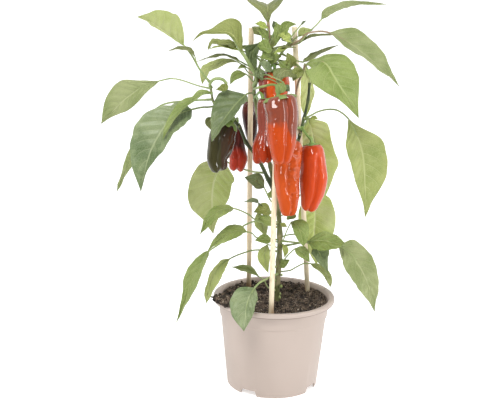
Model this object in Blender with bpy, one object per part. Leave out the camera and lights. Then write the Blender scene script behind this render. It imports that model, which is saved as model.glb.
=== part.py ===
"""Potted sweet pepper plant: a nursery pot of soil, three canes, a leafy stem, fruit and large leaves.

Constants and places are in millimetres and become metres when a mesh is made. +Z is up.
The origin is the centre of the pot's flat underside, and the front of the plant faces -Y.
"""

import math
from typing import NamedTuple

import bmesh
import bpy
from mathutils import Vector, noise

MM = 0.001
GAP = 0.3                       # left between pieces that touch
SEAT_GAP = 0.35                 # left between a branch and a leaf or fruit stalk that grows from it

# Pot
POT_HEIGHT = 106.5
RIM_RADIUS = 70.0
RIM_MOUTH = 65.2                # inner edge of the rim's flat top
LIP_HEIGHT = 5.5
LIP_WALL = 1.4
COLLAR_TOP_RADIUS = 63.4
COLLAR_FOOT_RADIUS = 62.2
COLLAR_FOOT = 84.0              # height at which the stacking collar steps out
WALL_TOP_RADIUS = 60.9
BASE_RADIUS = 52.4
WALL = 1.5
FLOOR = 1.8
DISH_RADIUS = 31.0              # flat middle of the base that stands on the table
DISH_RISE = 7.5                 # underside of the raised floor round the dish
POT_SIDES = 36
NOTCH_COUNT = 4
NOTCH_HEIGHT = 6.5
NOTCH_FOOT_WIDTH = 22.0
NOTCH_HEAD_WIDTH = 17.0
NOTCH_INNER = 8.0               # how far the notch cuts inside the base's radius
NOTCH_OUTER = 6.0               # and outside it
FIRST_NOTCH = math.radians(-30.0)   # turned from the front, towards +X
DRAIN_RADIUS = 4.0
DRAIN_CIRCLE = 41.0
SHARP_FROM = math.radians(40.0)

# Soil
SOIL_LEVEL = 98.6
SOIL_ROUGHNESS = 2.0
SOIL_GRAIN = 11.0               # size of the bumps in the soil's top
SOIL_PLAY = 0.4                 # between the soil's side and the pot's wall
SOIL_RINGS = (9.0, 18.0, 27.0, 36.0, 45.0, 53.0)
HEAP_TURN = math.radians(-62.0)     # where soil spilled over the rim, turned from the front
HEAP_CIRCLE = 64.5
HEAP_SIZE = (17.0, 8.5, 6.5)        # half lengths along the rim, across it and up
HEAP_HEIGHT = 104.5
HEAP_ROUGHNESS = 0.22
HEAP_GRAIN = 2.3

# Canes
CANE_RADIUS = 3.0
CANE_SIDES = 12


class Cane(NamedTuple):
    """A cane: where it enters the soil, its top end, and how far it reaches down under the soil."""

    foot: tuple
    top: tuple
    depth: float


CANES = {
    "cane_left": Cane((-30.2, 38.8, 99.0), (-33.0, 14.0, 409.5), 35.0),
    "cane_right": Cane((40.0, 34.5, 99.0), (14.5, 10.0, 412.0), 20.0),
    "cane_front": Cane((-2.4, -47.0, 99.0), (-2.6, -12.0, 314.0), 28.0),
}


class Branch(NamedTuple):
    """A length of stem: the points it grows through, and its radius at both ends."""

    points: tuple
    foot_radius: float
    tip_radius: float


BRANCHES = {
    "main": Branch(((3, 3, 70), (3, 3, 99), (5, 1, 146), (5, 0, 178), (2, 0, 213), (-3, 0, 232)), 3.6, 2.4),
    "left": Branch(((-1.5, -0.4, 225), (-10, -1, 243), (-22, -4, 267), (-35, -8, 285), (-43, -12, 303),
                    (-56, -16, 318), (-70, -20, 329), (-74, -22, 344), (-76, -22, 355)), 2.3, 1.5),
    "right": Branch(((0.4, 0.3, 217), (5, 3, 240), (10, 6, 255), (20, 6, 278), (24, 3, 293), (28, 2, 312),
                     (32, 2, 333), (33, 2, 352)), 2.2, 1.4),
    "middle": Branch(((-1.8, 0.6, 221), (-8, 6, 257), (-18, 9, 288), (-24, 7, 318), (-28, 3, 340),
                      (-26, 2, 358), (-20, 2, 375), (-13, 3, 392)), 2.3, 1.3),
    "upper": Branch(((-26, 3, 352), (-14, 5, 364), (-4, 7, 376), (7, 5, 392), (12, 3, 400)), 1.6, 1.1),
}
BRANCH_SIDES = 8
BRANCH_STEPS = 2                # straight lengths of tube between two points of a branch


class Leaf(NamedTuple):
    """A leaf: where its stalk grows from, the stalk's turns, its midrib, and how the blade lies."""

    root: tuple                 # branch name and height on it, or a place beside another stalk
    stalk: tuple                # turns between the root and the blade
    base: tuple
    middle: tuple               # the midrib halfway along
    tip: tuple
    half_width: float
    facing: tuple               # the way the blade's upper face looks
    fold: float                 # degrees that each half is raised towards that way
    wave: float = 1.6           # height of the edge's waves


LEAVES = {
    "leaf_high_left": Leaf(("left", 353), ((-87, -18, 364),), (-105, -8, 391), (-132, 14, 406),
                           (-162, 35, 418), 20, (0.1, -0.7, 0.7), 22),
    "leaf_high_left_slim": Leaf((-92, -17.5, 373), (), (-98, -22, 382), (-109, -24, 391),
                                (-122, -26, 386), 6, (0.0, -0.25, 1.0), 10, 0.6),
    "leaf_far_left": Leaf(("left", 346), ((-89, -19, 350), (-107, -15, 355)), (-131, -10, 351),
                              (-162, -4, 335), (-198, 0, 301), 16, (0.1, -0.9, 0.4), 14),
    "leaf_left_broad": Leaf(("left", 327), ((-85, -24, 326),), (-94, -30, 324), (-127, -46, 300),
                            (-145, -60, 240), 29, (-0.5, -0.72, 0.4), 24, 2.4),
    "leaf_left_folded": Leaf(("left", 340), ((-79, -27, 345),), (-84, -33, 344), (-99, -47, 337),
                             (-120, -64, 304), 11, (-0.4, -0.5, 0.8), 30, 0.8),
    "leaf_left_behind": Leaf(("left", 334), ((-98, -6, 330), (-126, 2, 318)), (-139, 4, 306),
                             (-156, 2, 268), (-177, -4, 226), 12, (-0.3, -0.9, 0.3), 12),
    "leaf_left_pale": Leaf(("left", 250), ((-30, 10, 249), (-48, 17, 253)), (-67, 22, 259),
                           (-73, 30, 214), (-73, 42, 165), 28, (-0.1, -1.0, 0.15), 8, 2.2),
    "leaf_mid_left": Leaf(("main", 186), ((-27, -12, 200),), (-46, -25, 214), (-65, -42, 212),
                          (-81, -55, 193), 13, (-0.1, -0.55, 0.8), 14),
    "leaf_low_left": Leaf(("main", 176), ((-20, -10, 179),), (-33, -20, 186), (-55, -34, 189),
                          (-74, -45, 171), 14, (-0.1, -0.5, 0.85), 14),
    "leaf_low_left_long": Leaf(("main", 195), ((-24, 6, 191),), (-66, 1, 170), (-94, -16, 133),
                               (-109, -28, 81), 17, (-0.75, -0.62, 0.25), 15, 2.0),
    "leaf_low_left_narrow": Leaf(("main", 158), ((-33, -3, 158),), (-51, -8, 152), (-61, -13, 133),
                                 (-77, -18, 100), 11, (-0.75, -0.45, 0.4), 16, 1.0),
    "leaf_over_rim": Leaf(("main", 131), ((-9, -18, 132),), (-23, -49, 133), (-34, -73, 121),
                          (-34, -95, 96), 16, (0.0, -0.85, 0.55), 8, 1.0),
    "leaf_high_right": Leaf(("upper", 394), ((24, -3, 401), (33, -1, 410)), (42, 0, 422), (76, 8, 434),
                            (115, 18, 437), 16, (0.0, -0.3, 0.95), 12),
    "leaf_right_arched": Leaf(("upper", 389), ((24, -7, 399), (40, -9, 406)), (55, -8, 409),
                              (96, -10, 388), (130, -12, 353), 20, (0.25, -0.55, 0.8), 15),
    "leaf_right_front": Leaf(("upper", 376), ((17, -12, 380),), (27, -20, 377), (60, -38, 360),
                             (83, -56, 323), 24, (0.15, -0.75, 0.65), 10, 2.0),
    "leaf_right_slim": Leaf(("upper", 383), ((12, 4, 380), (20, 4, 377)), (30, 9, 377), (47, 18, 387),
                            (65, 26, 391), 11, (0.0, -0.15, 1.0), 10, 0.8),
    "leaf_right_long": Leaf(("right", 312), ((38, 1, 318), (56, 0, 323)), (79, 0, 314), (102, 5, 262),
                             (102, 10, 200), 26, (0.35, -0.9, 0.2), 10, 2.2),
    "leaf_behind_fruit": Leaf(("right", 300), ((31, 14, 306),), (36, 24, 306), (49, 42, 260),
                              (55, 50, 208), 21, (0.05, -1.0, 0.2), 8, 1.8),
    "leaf_right_pale": Leaf(("main", 204), ((22, 12, 218),), (41, 28, 226), (49, 50, 178),
                            (50, 58, 129), 21, (0.1, -1.0, 0.2), 8, 1.8),
    "leaf_low_right_long": Leaf(("main", 164), ((40, 4, 170),), (71, -5, 175), (100, -18, 143),
                                (114, -30, 102), 18, (0.45, -0.75, 0.5), 12, 1.8),
    "leaf_low_right_short": Leaf(("main", 183), ((24, -10, 178),), (37, -16, 177), (56, -21, 186),
                                 (78, -27, 180), 12, (0.0, -0.6, 0.8), 12, 1.0),
    "leaf_low_right_dark": Leaf(("main", 171), ((24, -9, 172),), (38, -17, 173), (50, -23, 163),
                                (58, -29, 144), 9, (0.2, -0.8, 0.5), 12, 0.8),
    "leaf_low_right_small": Leaf(("main", 136), ((16, 2, 138), (33, 4, 145)), (40, 6, 145),
                                 (55, 12, 137), (65, 20, 112), 9, (0.2, -0.8, 0.5), 10, 0.8),
    "leaf_under_fruit": Leaf(("main", 188), ((9, -12, 188),), (16, -24, 201), (26, -35, 196),
                             (31, -45, 180), 9, (0.1, -0.8, 0.6), 12, 0.8),
    "leaf_behind_right_cane": Leaf(("right", 346), ((34, 14, 353),), (29, 27, 357), (33, 34, 336),
                                   (28, 37, 312), 11, (0.1, -1.0, 0.15), 8, 0.8),
    "leaf_top_left": Leaf(("middle", 347), ((-30, -9, 360), (-36, -13, 381)), (-44, -15, 393),
                          (-62, -22, 404), (-94, -30, 398), 17, (0.0, -0.7, 0.72), 24),
    "leaf_top_left_lower": Leaf(("middle", 374), ((-28, 2, 380),), (-40, 4, 388), (-61, 8, 393),
                                (-82, 10, 387), 13, (0.0, -0.5, 0.85), 12, 1.2),
    "leaf_top_dark": Leaf(("middle", 386), ((-19, -3, 399),), (-24, -4, 400), (-36, -1, 382),
                          (-31, 1, 355), 10, (0.15, -0.95, 0.3), 12, 0.6),
    "leaf_top_slim": Leaf(("middle", 366), ((-35, 5, 370),), (-47, 6, 376), (-66, 6, 382),
                          (-92, 6, 372), 6, (0.0, -0.1, 1.0), 10, 0.4),
    "leaf_top_pale": Leaf(("middle", 358), ((-34, 8, 360), (-46, 11, 369)), (-56, 13, 374),
                          (-77, 20, 369), (-91, 25, 346), 11, (-0.1, -0.8, 0.6), 12, 1.0),
    "leaf_over_green_fruit": Leaf(("middle", 339), ((-33, -14, 341),), (-38, -26, 344),
                                  (-54, -47, 324), (-70, -64, 295), 18, (-0.45, -0.75, 0.5), 18, 1.6),
    "leaf_crown": Leaf(("middle", 391), ((-13, 1, 404),), (-13, 0, 417), (-15, -20, 428),
                       (-17, -40, 432), 27, (0.0, 0.15, 1.0), 24, 1.0),
    "leaf_draped": Leaf(("upper", 371), ((8, -4, 372), (20, -9, 371)), (24, -16, 368), (7, -25, 370),
                        (-14, -29, 366), 13, (0.0, -0.5, 0.85), -30, 1.2),
}
LEAF_COLOURS = {
    "leaf_high_left": "pale", "leaf_far_left": "pale", "leaf_left_pale": "pale",
    "leaf_right_long": "pale",
    "leaf_right_pale": "pale", "leaf_behind_fruit": "pale", "leaf_left_behind": "pale",
    "leaf_top_pale": "pale", "leaf_behind_right_cane": "pale",
    "leaf_over_green_fruit": "dark", "leaf_left_broad": "dark", "leaf_low_right_dark": "dark",
    "leaf_top_dark": "dark", "leaf_mid_left": "dark",
}
BROAD = 15.0                    # half width from which a blade has two columns of faces a side

# Small leaves that are one with the stem
SMALL_LEAVES = (
    Leaf(("middle", 346), ((-35, 5, 352),), (-40, 6, 358), (-48, 6, 360), (-56, 5, 351), 6,
         (0.0, -0.5, 0.85), 10, 0.4),
    Leaf(("middle", 380), (), (-10, -8, 381), (-17, -11, 389), (-25, -14, 391), 6, (0.0, -0.7, 0.7), 12, 0.4),
    Leaf(("middle", 368), (), (-7, -13, 368), (-15, -20, 377), (-23, -24, 378), 7, (0.1, -0.7, 0.7), 12, 0.4),
    Leaf(("middle", 357), ((-18, -20, 361),), (-11, -30, 354), (-2, -36, 355), (7, -40, 347), 8,
         (0.1, -0.8, 0.6), 8, 0.4),
    Leaf(("middle", 390), (), (-15, 5, 401), (-21, 7, 409), (-28, 8, 414), 6, (0.0, -0.8, 0.6), 8, 0.4),
    Leaf(("middle", 391), (), (-9, 6, 398), (-4, 8, 408), (-4, 10, 417), 5, (0.2, -1.0, 0.1), 8, 0.4),
    Leaf(("upper", 398), (), (9, 6, 408), (4, 4, 412), (-4, 2, 405), 5, (0.0, -0.9, 0.4), 8, 0.3),
    Leaf(("upper", 399), (), (14, -1, 409), (19, -3, 416), (25, -4, 416), 5, (0.0, -0.7, 0.7), 8, 0.3),
    Leaf(("upper", 380), (), (7, -1, 385), (11, -5, 391), (12, -9, 398), 5, (0.1, -0.9, 0.3), 8, 0.3),
    Leaf(("left", 350), ((-71, -26, 356),), (-65, -28, 356), (-60, -31, 352), (-56, -33, 345), 5,
         (0.2, -0.7, 0.7), 12, 0.3),
    Leaf(("main", 167), (), (-4, -11, 170), (-13, -18, 176), (-22, -24, 173), 6, (0.0, -0.7, 0.7), 10, 0.4),
    Leaf(("main", 152), (), (-12, -6, 165), (-15, -12, 154), (-9, -17, 138), 6, (-0.2, -0.9, 0.3), 10, 0.4),
    Leaf(("main", 199), (), (-6, -11, 198), (-13, -17, 194), (-18, -21, 182), 7, (0.0, -0.8, 0.6), 8, 0.4),
    Leaf(("main", 205), (), (-6, -10, 205), (-13, -17, 207), (-20, -22, 202), 5, (0.0, -0.6, 0.8), 10, 0.3),
    Leaf(("main", 226), (), (-14, -7, 234), (-25, -12, 241), (-37, -17, 241), 7, (0.0, -0.6, 0.8), 10, 0.4),
    Leaf(("main", 212), (), (-16, 5, 215), (-27, 9, 217), (-38, 13, 211), 5, (0.0, -0.7, 0.7), 8, 0.4),
    Leaf(("main", 148), (), (22, -16, 168), (32, -26, 166), (39, -33, 155), 6, (0.1, -0.8, 0.6), 10, 0.4),
    Leaf(("main", 156), (), (9, -8, 160), (13, -12, 158), (15, -16, 150), 4, (0.0, -0.9, 0.4), 8, 0.2),
    Leaf(("main", 142), (), (8, -6, 148), (13, -11, 149), (18, -15, 143), 4, (0.0, -0.8, 0.6), 8, 0.2),
    Leaf(("main", 200), (), (10, -8, 203), (16, -12, 207), (22, -16, 205), 4, (0.0, -0.7, 0.7), 8, 0.2),
    Leaf(("right", 308), (), (36, -2, 314), (40, -5, 320), (43, -8, 326), 4, (0.0, -0.8, 0.5), 8, 0.2),
    Leaf(("main", 119), (), (-13, 3, 124), (-33, 11, 133), (-50, 20, 133), 6, (0.0, -0.3, 1.0), 8, 0.4),
    Leaf(("upper", 396), (), (25, 7, 398), (42, 14, 403), (60, 20, 404), 5, (0.0, -0.15, 1.0), 8, 0.3),
    Leaf(("right", 346), (), (40, -6, 352), (45, -10, 350), (48, -14, 342), 5, (0.2, -0.8, 0.5), 8, 0.3),
)

# Sections of a blade: place along the midrib, from its base to its tip
BLADE_STATIONS = (0.07, 0.17, 0.3, 0.44, 0.58, 0.73, 0.87, 1.0)
SMALL_STATIONS = (0.12, 0.36, 0.63, 0.86, 1.0)
STALK_STEPS = 4                 # straight lengths in the stalk of a large leaf
SMALL_STALK_STEPS = 2
BASE_SWELL = 0.62               # how roundly a blade widens from its base
TIP_TAPER = 1.1                 # how sharply it narrows to its tip
WIDEST = BASE_SWELL / (BASE_SWELL + TIP_TAPER)      # where along the midrib it is widest
WAVE_COUNT = 2.6
WAVE_PHASES = (2.6, 0.9)        # where the waves start on the left and the right edge
BLADE_THICKNESS = 0.8
RIB_THICKNESS = 0.9             # extra thickness at the midrib near the base
STALK_RADIUS = 1.1
SMALL_STALK_RADIUS = 0.8
STALK_SPREAD = math.radians(72.0)   # how far round a stalk its outermost points lie
TIP_HALF_WIDTH = 0.5


class Fruit(NamedTuple):
    """A fruit and its stalk: where the stalk grows from, its turns, the fruit's axis and its form."""

    root: tuple
    stalk: tuple
    top: tuple
    middle: tuple
    bottom: tuple
    radius: float
    form: str
    lobes: int
    turn: float                 # degrees that the lobes are turned
    colour: str


FRUIT = {
    "front": Fruit(("middle", 344), ((-25, -14, 350), (-12, -40, 350)), (0, -55, 341), (1, -62, 307),
                   (6, -69, 272), 20.5, "block", 4, 20, "ripening"),
    "long": Fruit(("right", 300), ((21, -12, 306),), (11, -30, 298), (9, -38, 256), (12, -43, 212),
                  15.5, "barrel", 3, 70, "ripe"),
    "right": Fruit(("right", 291), ((29, -8, 291),), (36, -11, 286), (41, -13, 248), (40, -14, 210),
                   15.5, "barrel", 3, 200, "ripe"),
    "green": Fruit(("left", 319), ((-57, -30, 320),), (-55, -36, 314), (-59, -37, 288), (-63, -39, 260),
                   17.0, "barrel", 3, 40, "unripe"),
    "shaded": Fruit(("left", 312), ((-49, -4, 317),), (-46, 6, 311), (-43, 8, 285), (-41, 8, 257),
                    11.0, "barrel", 3, 10, "turning"),
    "maroon": Fruit(("middle", 327), ((-25, 27, 333),), (-33, 38, 325), (-33, 39, 302), (-33, 38, 278),
                    9.0, "block", 3, 90, "dark"),
    "waisted": Fruit(("middle", 334), ((-22, -16, 342),), (-19, -23, 332), (-18, -24, 300),
                     (-20, -26, 267), 10.5, "flared", 4, 30, "turning"),
    "high": Fruit(("upper", 365), ((-8, -1, 371),), (-4, -5, 363), (-3, -5, 344), (-3, -6, 324),
                  17.5, "block", 4, 0, "ripe"),
}
# Outlines of a fruit: share of its length from the top, and share of its radius
FRUIT_FORMS = {
    "block": ((0.0, 0.5), (0.05, 0.84), (0.15, 1.0), (0.38, 0.98), (0.62, 0.86), (0.82, 0.72),
              (0.95, 0.48), (1.0, 0.2)),
    "barrel": ((0.0, 0.5), (0.05, 0.84), (0.15, 1.0), (0.38, 1.0), (0.62, 0.95), (0.82, 0.82),
               (0.95, 0.55), (1.0, 0.22)),
    "flared": ((0.0, 0.5), (0.08, 0.78), (0.26, 0.74), (0.42, 0.62), (0.58, 0.76), (0.78, 1.0),
               (0.92, 0.86), (1.0, 0.4)),
}
FRUIT_SIDES = 14
FURROW = 0.13                   # depth of the furrows between lobes, as a share of the radius
FURROW_RISE = 0.25              # the furrows are deepest this far above the fruit's middle
CUP_SIDES = 10                  # the green cup on top of a fruit has a tooth at every second side
CUP_SHARE = 0.46                # the cup's radius, as a share of the fruit's
CUP_NECK_RADIUS = 1.9
CUP_EDGE = 1.3                  # thickness of the cup's teeth
CUP_TOOTH = 1.25                # how much further than the gaps between them the teeth reach
FRUIT_STALK_RADIUS = 1.6
FRUIT_STALK_STEPS = 4

# Colour, roughness and metallic value
FINISHES = {
    "pot": ((0.62, 0.52, 0.46), 0.55, 0.0),
    "soil": ((0.035, 0.024, 0.018), 0.95, 0.0),
    "cane": ((0.78, 0.62, 0.38), 0.6, 0.0),
    "stem": ((0.14, 0.22, 0.06), 0.5, 0.0),
    "leaf": ((0.16, 0.27, 0.07), 0.5, 0.0),
    "pale": ((0.34, 0.44, 0.14), 0.55, 0.0),
    "dark": ((0.09, 0.19, 0.06), 0.4, 0.0),
    "ripe": ((0.72, 0.07, 0.02), 0.25, 0.0),
    "ripening": ((0.45, 0.06, 0.02), 0.25, 0.0),
    "turning": ((0.4, 0.04, 0.04), 0.25, 0.0),
    "dark_fruit": ((0.12, 0.015, 0.02), 0.25, 0.0),
    "unripe": ((0.05, 0.045, 0.012), 0.25, 0.0),
    "cup": ((0.2, 0.32, 0.08), 0.5, 0.0),
}
FRUIT_FINISH = {"ripe": "ripe", "ripening": "ripening", "turning": "turning", "dark": "dark_fruit",
                "unripe": "unripe"}


def clear_scene():
    """Remove every object that the file starts with."""
    for item in list(bpy.data.objects):
        bpy.data.objects.remove(item, do_unlink=True)


def finish(name):
    """Give the material of a colour name, making it the first time."""
    found = bpy.data.materials.get(name)
    if found:
        return found
    colour, roughness, metallic = FINISHES[name]
    made = bpy.data.materials.new(name)
    made.use_nodes = True
    shader = made.node_tree.nodes["Principled BSDF"]
    shader.inputs["Base Color"].default_value = (*colour, 1.0)
    shader.inputs["Roughness"].default_value = roughness
    shader.inputs["Metallic"].default_value = metallic
    return made


def add_object(name, bm, material, smooth=True):
    """Turn a bmesh in millimetres into a named object in metres."""
    bmesh.ops.scale(bm, vec=(MM, MM, MM), verts=bm.verts)
    mesh = bpy.data.meshes.new(name)
    bm.to_mesh(mesh)
    bm.free()
    made = bpy.data.objects.new(name, mesh)
    bpy.context.scene.collection.objects.link(made)
    mesh.materials.append(finish(material))
    if smooth:
        mesh.shade_smooth()
    return made


def add_boolean(target, operation, other):
    """Cut a target by a hidden tool object, or join the tool to it."""
    modifier = target.modifiers.new(operation.lower(), "BOOLEAN")
    modifier.operation = operation
    modifier.object = other
    other.hide_render = True
    other.display_type = "WIRE"


def turned(outline, sides):
    """Spin an outline of (radius, height) pairs round the Z axis into a closed bmesh."""
    bm = bmesh.new()
    verts = [bm.verts.new((radius, 0.0, height)) for radius, height in outline]
    edges = [bm.edges.new(pair) for pair in zip(verts, verts[1:])]
    if outline[0][0] > 0.0:
        edges.append(bm.edges.new((verts[-1], verts[0])))
    bmesh.ops.spin(bm, geom=verts + edges, cent=(0, 0, 0), axis=(0, 0, 1), angle=math.tau,
                   steps=sides, use_merge=True)
    bmesh.ops.remove_doubles(bm, verts=bm.verts, dist=0.001)
    bmesh.ops.recalc_face_normals(bm, faces=bm.faces)
    return bm


def skin(rings, mirrored=False):
    """Join rings of equal count into a closed bmesh of triangles.

    With mirrored set, the second half of each ring is the underside of the first half, and its
    faces are split along the same diagonals.
    """
    bm = bmesh.new()
    loops = [[bm.verts.new(point) for point in ring] for ring in rings]
    count = len(rings[0])
    for near, far in zip(loops, loops[1:]):
        for j in range(count):
            k = (j + 1) % count
            if mirrored and j >= count // 2:
                bm.faces.new((near[j], far[k], near[k]))
                bm.faces.new((near[j], far[j], far[k]))
            else:
                bm.faces.new((near[j], far[j], near[k]))
                bm.faces.new((near[k], far[j], far[k]))
    for end in (loops[0], loops[-1]):
        cap = bm.faces.new(end)
        bmesh.ops.triangulate(bm, faces=[cap])
    bmesh.ops.recalc_face_normals(bm, faces=bm.faces)
    return bm


def curve_point(points, share):
    """Give the point at a share of the way along a smooth curve through the points."""
    spans = len(points) - 1
    place = min(max(share, 0.0), 1.0) * spans
    index = min(int(place), spans - 1)
    t = place - index
    p1, p2 = points[index], points[index + 1]
    p0 = points[index - 1] if index > 0 else p1 * 2 - p2
    p3 = points[index + 2] if index + 2 <= spans else p2 * 2 - p1
    return 0.5 * (2 * p1 + (p2 - p0) * t + (2 * p0 - 5 * p1 + 4 * p2 - p3) * t ** 2
                  + (3 * p1 - p0 - 3 * p2 + p3) * t ** 3)


def smooth_path(points, steps):
    """Sample a smooth curve through the points in so many steps."""
    points = [Vector(point) for point in points]
    return [curve_point(points, i / steps) for i in range(steps + 1)]


def directions(path):
    """Give the unit direction of travel at every point of a path."""
    last = len(path) - 1
    return [(path[min(i + 1, last)] - path[max(i - 1, 0)]).normalized() for i in range(last + 1)]


def carried_normals(along, start, normal):
    """Carry a normal along a path both ways from one point, turning it as little as possible."""
    normals = [None] * len(along)
    normals[start] = (normal - along[start] * normal.dot(along[start])).normalized()
    for i in range(start + 1, len(along)):
        normals[i] = (normals[i - 1] - along[i] * normals[i - 1].dot(along[i])).normalized()
    for i in range(start - 1, -1, -1):
        normals[i] = (normals[i + 1] - along[i] * normals[i + 1].dot(along[i])).normalized()
    return normals


def round_ring(centre, side, up, radius, sides):
    """Give the points of a circle about a centre."""
    turns = [math.tau * j / sides for j in range(sides)]
    return [centre + (side * math.cos(turn) + up * math.sin(turn)) * radius for turn in turns]


def tube(path, foot_radius, tip_radius, sides):
    """Make a round tube that tapers along a path."""
    along = directions(path)
    ups = carried_normals(along, 0, Vector((0, 1, 0.1)))
    last = len(path) - 1
    rings = []
    for i, (point, way, up) in enumerate(zip(path, along, ups)):
        radius = foot_radius + (tip_radius - foot_radius) * i / last
        rings.append(round_ring(point, way.cross(up), up, radius, sides))
    return skin(rings)


def branch_path(name):
    """Give the points that a branch's tube is made through."""
    points = BRANCHES[name].points
    return smooth_path(points, (len(points) - 1) * BRANCH_STEPS)


def on_branch(name, height):
    """Give the centre, direction and radius of a branch at a height."""
    branch = BRANCHES[name]
    path = branch_path(name)
    last = len(path) - 1
    index = min(range(last), key=lambda i: abs((path[i].z + path[i + 1].z) / 2 - height))
    share = (height - path[index].z) / (path[index + 1].z - path[index].z)
    share = min(max(share, 0.0), 1.0)
    centre = path[index].lerp(path[index + 1], share)
    radius = branch.foot_radius + (branch.tip_radius - branch.foot_radius) * (index + share) / last
    return centre, (path[index + 1] - path[index]).normalized(), radius


def seat(root, target):
    """Give the place just off a branch's side where a stalk starts, and its direction there."""
    if isinstance(root[0], str):
        centre, along, radius = on_branch(*root)
        out = Vector(target) - centre
        out = (out - along * out.dot(along)).normalized()
        return centre + out * (radius + SEAT_GAP), out
    return Vector(root), (Vector(target) - Vector(root)).normalized()


def blade_width(leaf, share, narrowest):
    """Give the blade's half width at a share of the way along its midrib."""
    swell = (share / WIDEST) ** BASE_SWELL
    taper = ((1 - share) / (1 - WIDEST)) ** TIP_TAPER
    return max(leaf.half_width * swell * taper, narrowest)


def blade_ring(centre, side, up, leaf, share, columns):
    """Give one section across a blade: its upper face, then its underside back again."""
    narrowest = TIP_HALF_WIDTH if share > 0.5 else STALK_RADIUS
    width = blade_width(leaf, share, narrowest)
    fold = math.radians(leaf.fold) * min(1.0, width / leaf.half_width + 0.2)
    steps = [(2 * j - columns) / columns for j in range(columns + 1)]
    upper, lower = [], []
    for step in steps:
        phase = WAVE_PHASES[step > 0]
        ripple = math.sin(math.tau * WAVE_COUNT * share + phase) * leaf.wave * abs(step) ** 3
        ripple *= width / leaf.half_width
        out = width * step * math.cos(fold)
        rise = width * abs(step) * math.sin(fold) + ripple
        thick = BLADE_THICKNESS + RIB_THICKNESS * (1 - share) * (1 - min(1.0, abs(step) * 2))
        point = centre + side * out + up * rise
        upper.append(point + up * thick / 2)
        lower.append(point - up * thick / 2)
    return upper + lower[::-1]


def stalk_ring(centre, side, up, radius, columns):
    """Give a round section with the same number of points as a blade's."""
    leans = [STALK_SPREAD * (2 * j - columns) / columns for j in range(columns + 1)]
    upper = [centre + (side * math.sin(lean) + up * math.cos(lean)) * radius for lean in leans]
    lower = [centre + (side * math.sin(lean) - up * math.cos(lean)) * radius for lean in leans]
    return upper + lower[::-1]


def leaf_mesh(leaf, stations, columns, stalk_radius, start, out, stalk_steps):
    """Make a leaf with its stalk: a round stalk that widens into a folded, waved blade."""
    stalk = smooth_path([start, *leaf.stalk, leaf.base], stalk_steps)
    base, middle, tip = Vector(leaf.base), Vector(leaf.middle), Vector(leaf.tip)
    control = middle * 2 - (base + tip) / 2
    midrib = [base * (1 - s) ** 2 + control * 2 * s * (1 - s) + tip * s * s for s in stations]
    path = stalk + midrib
    along = directions(path)
    along[0] = out
    centre = len(stalk) + len(stations) // 2
    ups = carried_normals(along, centre, Vector(leaf.facing))
    rings = []
    for i, (point, way, up) in enumerate(zip(path, along, ups)):
        side = way.cross(up)
        if i < len(stalk):
            rings.append(stalk_ring(point, side, up, stalk_radius, columns))
        else:
            share = stations[i - len(stalk)]
            rings.append(blade_ring(point, side, up, leaf, share, columns))
    return skin(rings, mirrored=True)


def add_large_leaf(name, leaf):
    """Add a leaf that is a piece of its own, its stalk set just off what it grows from."""
    first_turn = leaf.stalk[0] if leaf.stalk else leaf.base
    columns = 4 if leaf.half_width >= BROAD else 2
    start, out = seat(leaf.root, first_turn)
    bm = leaf_mesh(leaf, BLADE_STATIONS, columns, STALK_RADIUS, start, out, STALK_STEPS)
    return add_object(name, bm, LEAF_COLOURS.get(name, "leaf"))


def add_stem():
    """Add the leafy stem: its branches and small leaves, joined into one body."""
    parts = bpy.data.collections.new("stem_parts")
    shoots = []
    for name, branch in BRANCHES.items():
        shoots.append(tube(branch_path(name), branch.foot_radius, branch.tip_radius, BRANCH_SIDES))
    for leaf in SMALL_LEAVES:
        root = on_branch(*leaf.root)[0]
        first_turn = Vector(leaf.stalk[0] if leaf.stalk else leaf.base)
        out = (first_turn - root).normalized()
        shoots.append(leaf_mesh(leaf, SMALL_STATIONS, 2, SMALL_STALK_RADIUS, root, out, SMALL_STALK_STEPS))
    stem = add_object("stem", shoots[0], "stem")
    for i, shoot in enumerate(shoots[1:]):
        part = add_object(f"stem_part_{i}", shoot, "stem")
        bpy.context.scene.collection.objects.unlink(part)
        parts.objects.link(part)
    modifier = stem.modifiers.new("union", "BOOLEAN")
    modifier.operation = "UNION"
    modifier.operand_type = "COLLECTION"
    modifier.collection = parts
    joined = bpy.data.meshes.new_from_object(stem.evaluated_get(bpy.context.evaluated_depsgraph_get()))
    stem.modifiers.clear()
    stem.data = joined
    for part in list(parts.objects):
        bpy.data.objects.remove(part, do_unlink=True)
    bpy.data.collections.remove(parts)
    return stem


def fruit_axis(fruit, share):
    """Give the point at a share of the way down a fruit's axis."""
    top, middle, bottom = Vector(fruit.top), Vector(fruit.middle), Vector(fruit.bottom)
    control = middle * 2 - (top + bottom) / 2
    return top * (1 - share) ** 2 + control * 2 * share * (1 - share) + bottom * share * share


def furrowed(fruit, share, angle):
    """Give the part of a fruit's radius that is left at an angle round it, less in a furrow."""
    crest = abs(math.sin((angle + math.radians(fruit.turn)) * fruit.lobes / 2))
    depth = FURROW * math.sin(math.pi * min(share + FURROW_RISE, 1.0))
    return 1 - depth * (1 - crest) ** 2


def add_fruit(name, fruit):
    """Add one fruit, a lobed body round its bent axis."""
    form = FRUIT_FORMS[fruit.form]
    path = [fruit_axis(fruit, share) for share, _ in form]
    along = directions(path)
    ups = carried_normals(along, 0, Vector((0, 1, 0)))
    rings = []
    for (share, size), point, way, up in zip(form, path, along, ups):
        ring = round_ring(point, way.cross(up), up, fruit.radius * size, FRUIT_SIDES)
        kept = [furrowed(fruit, share, math.tau * j / FRUIT_SIDES) for j in range(FRUIT_SIDES)]
        rings.append([point + (place - point) * part for place, part in zip(ring, kept)])
    return add_object(f"pepper_{name}", skin(rings), FRUIT_FINISH[fruit.colour])


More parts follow.
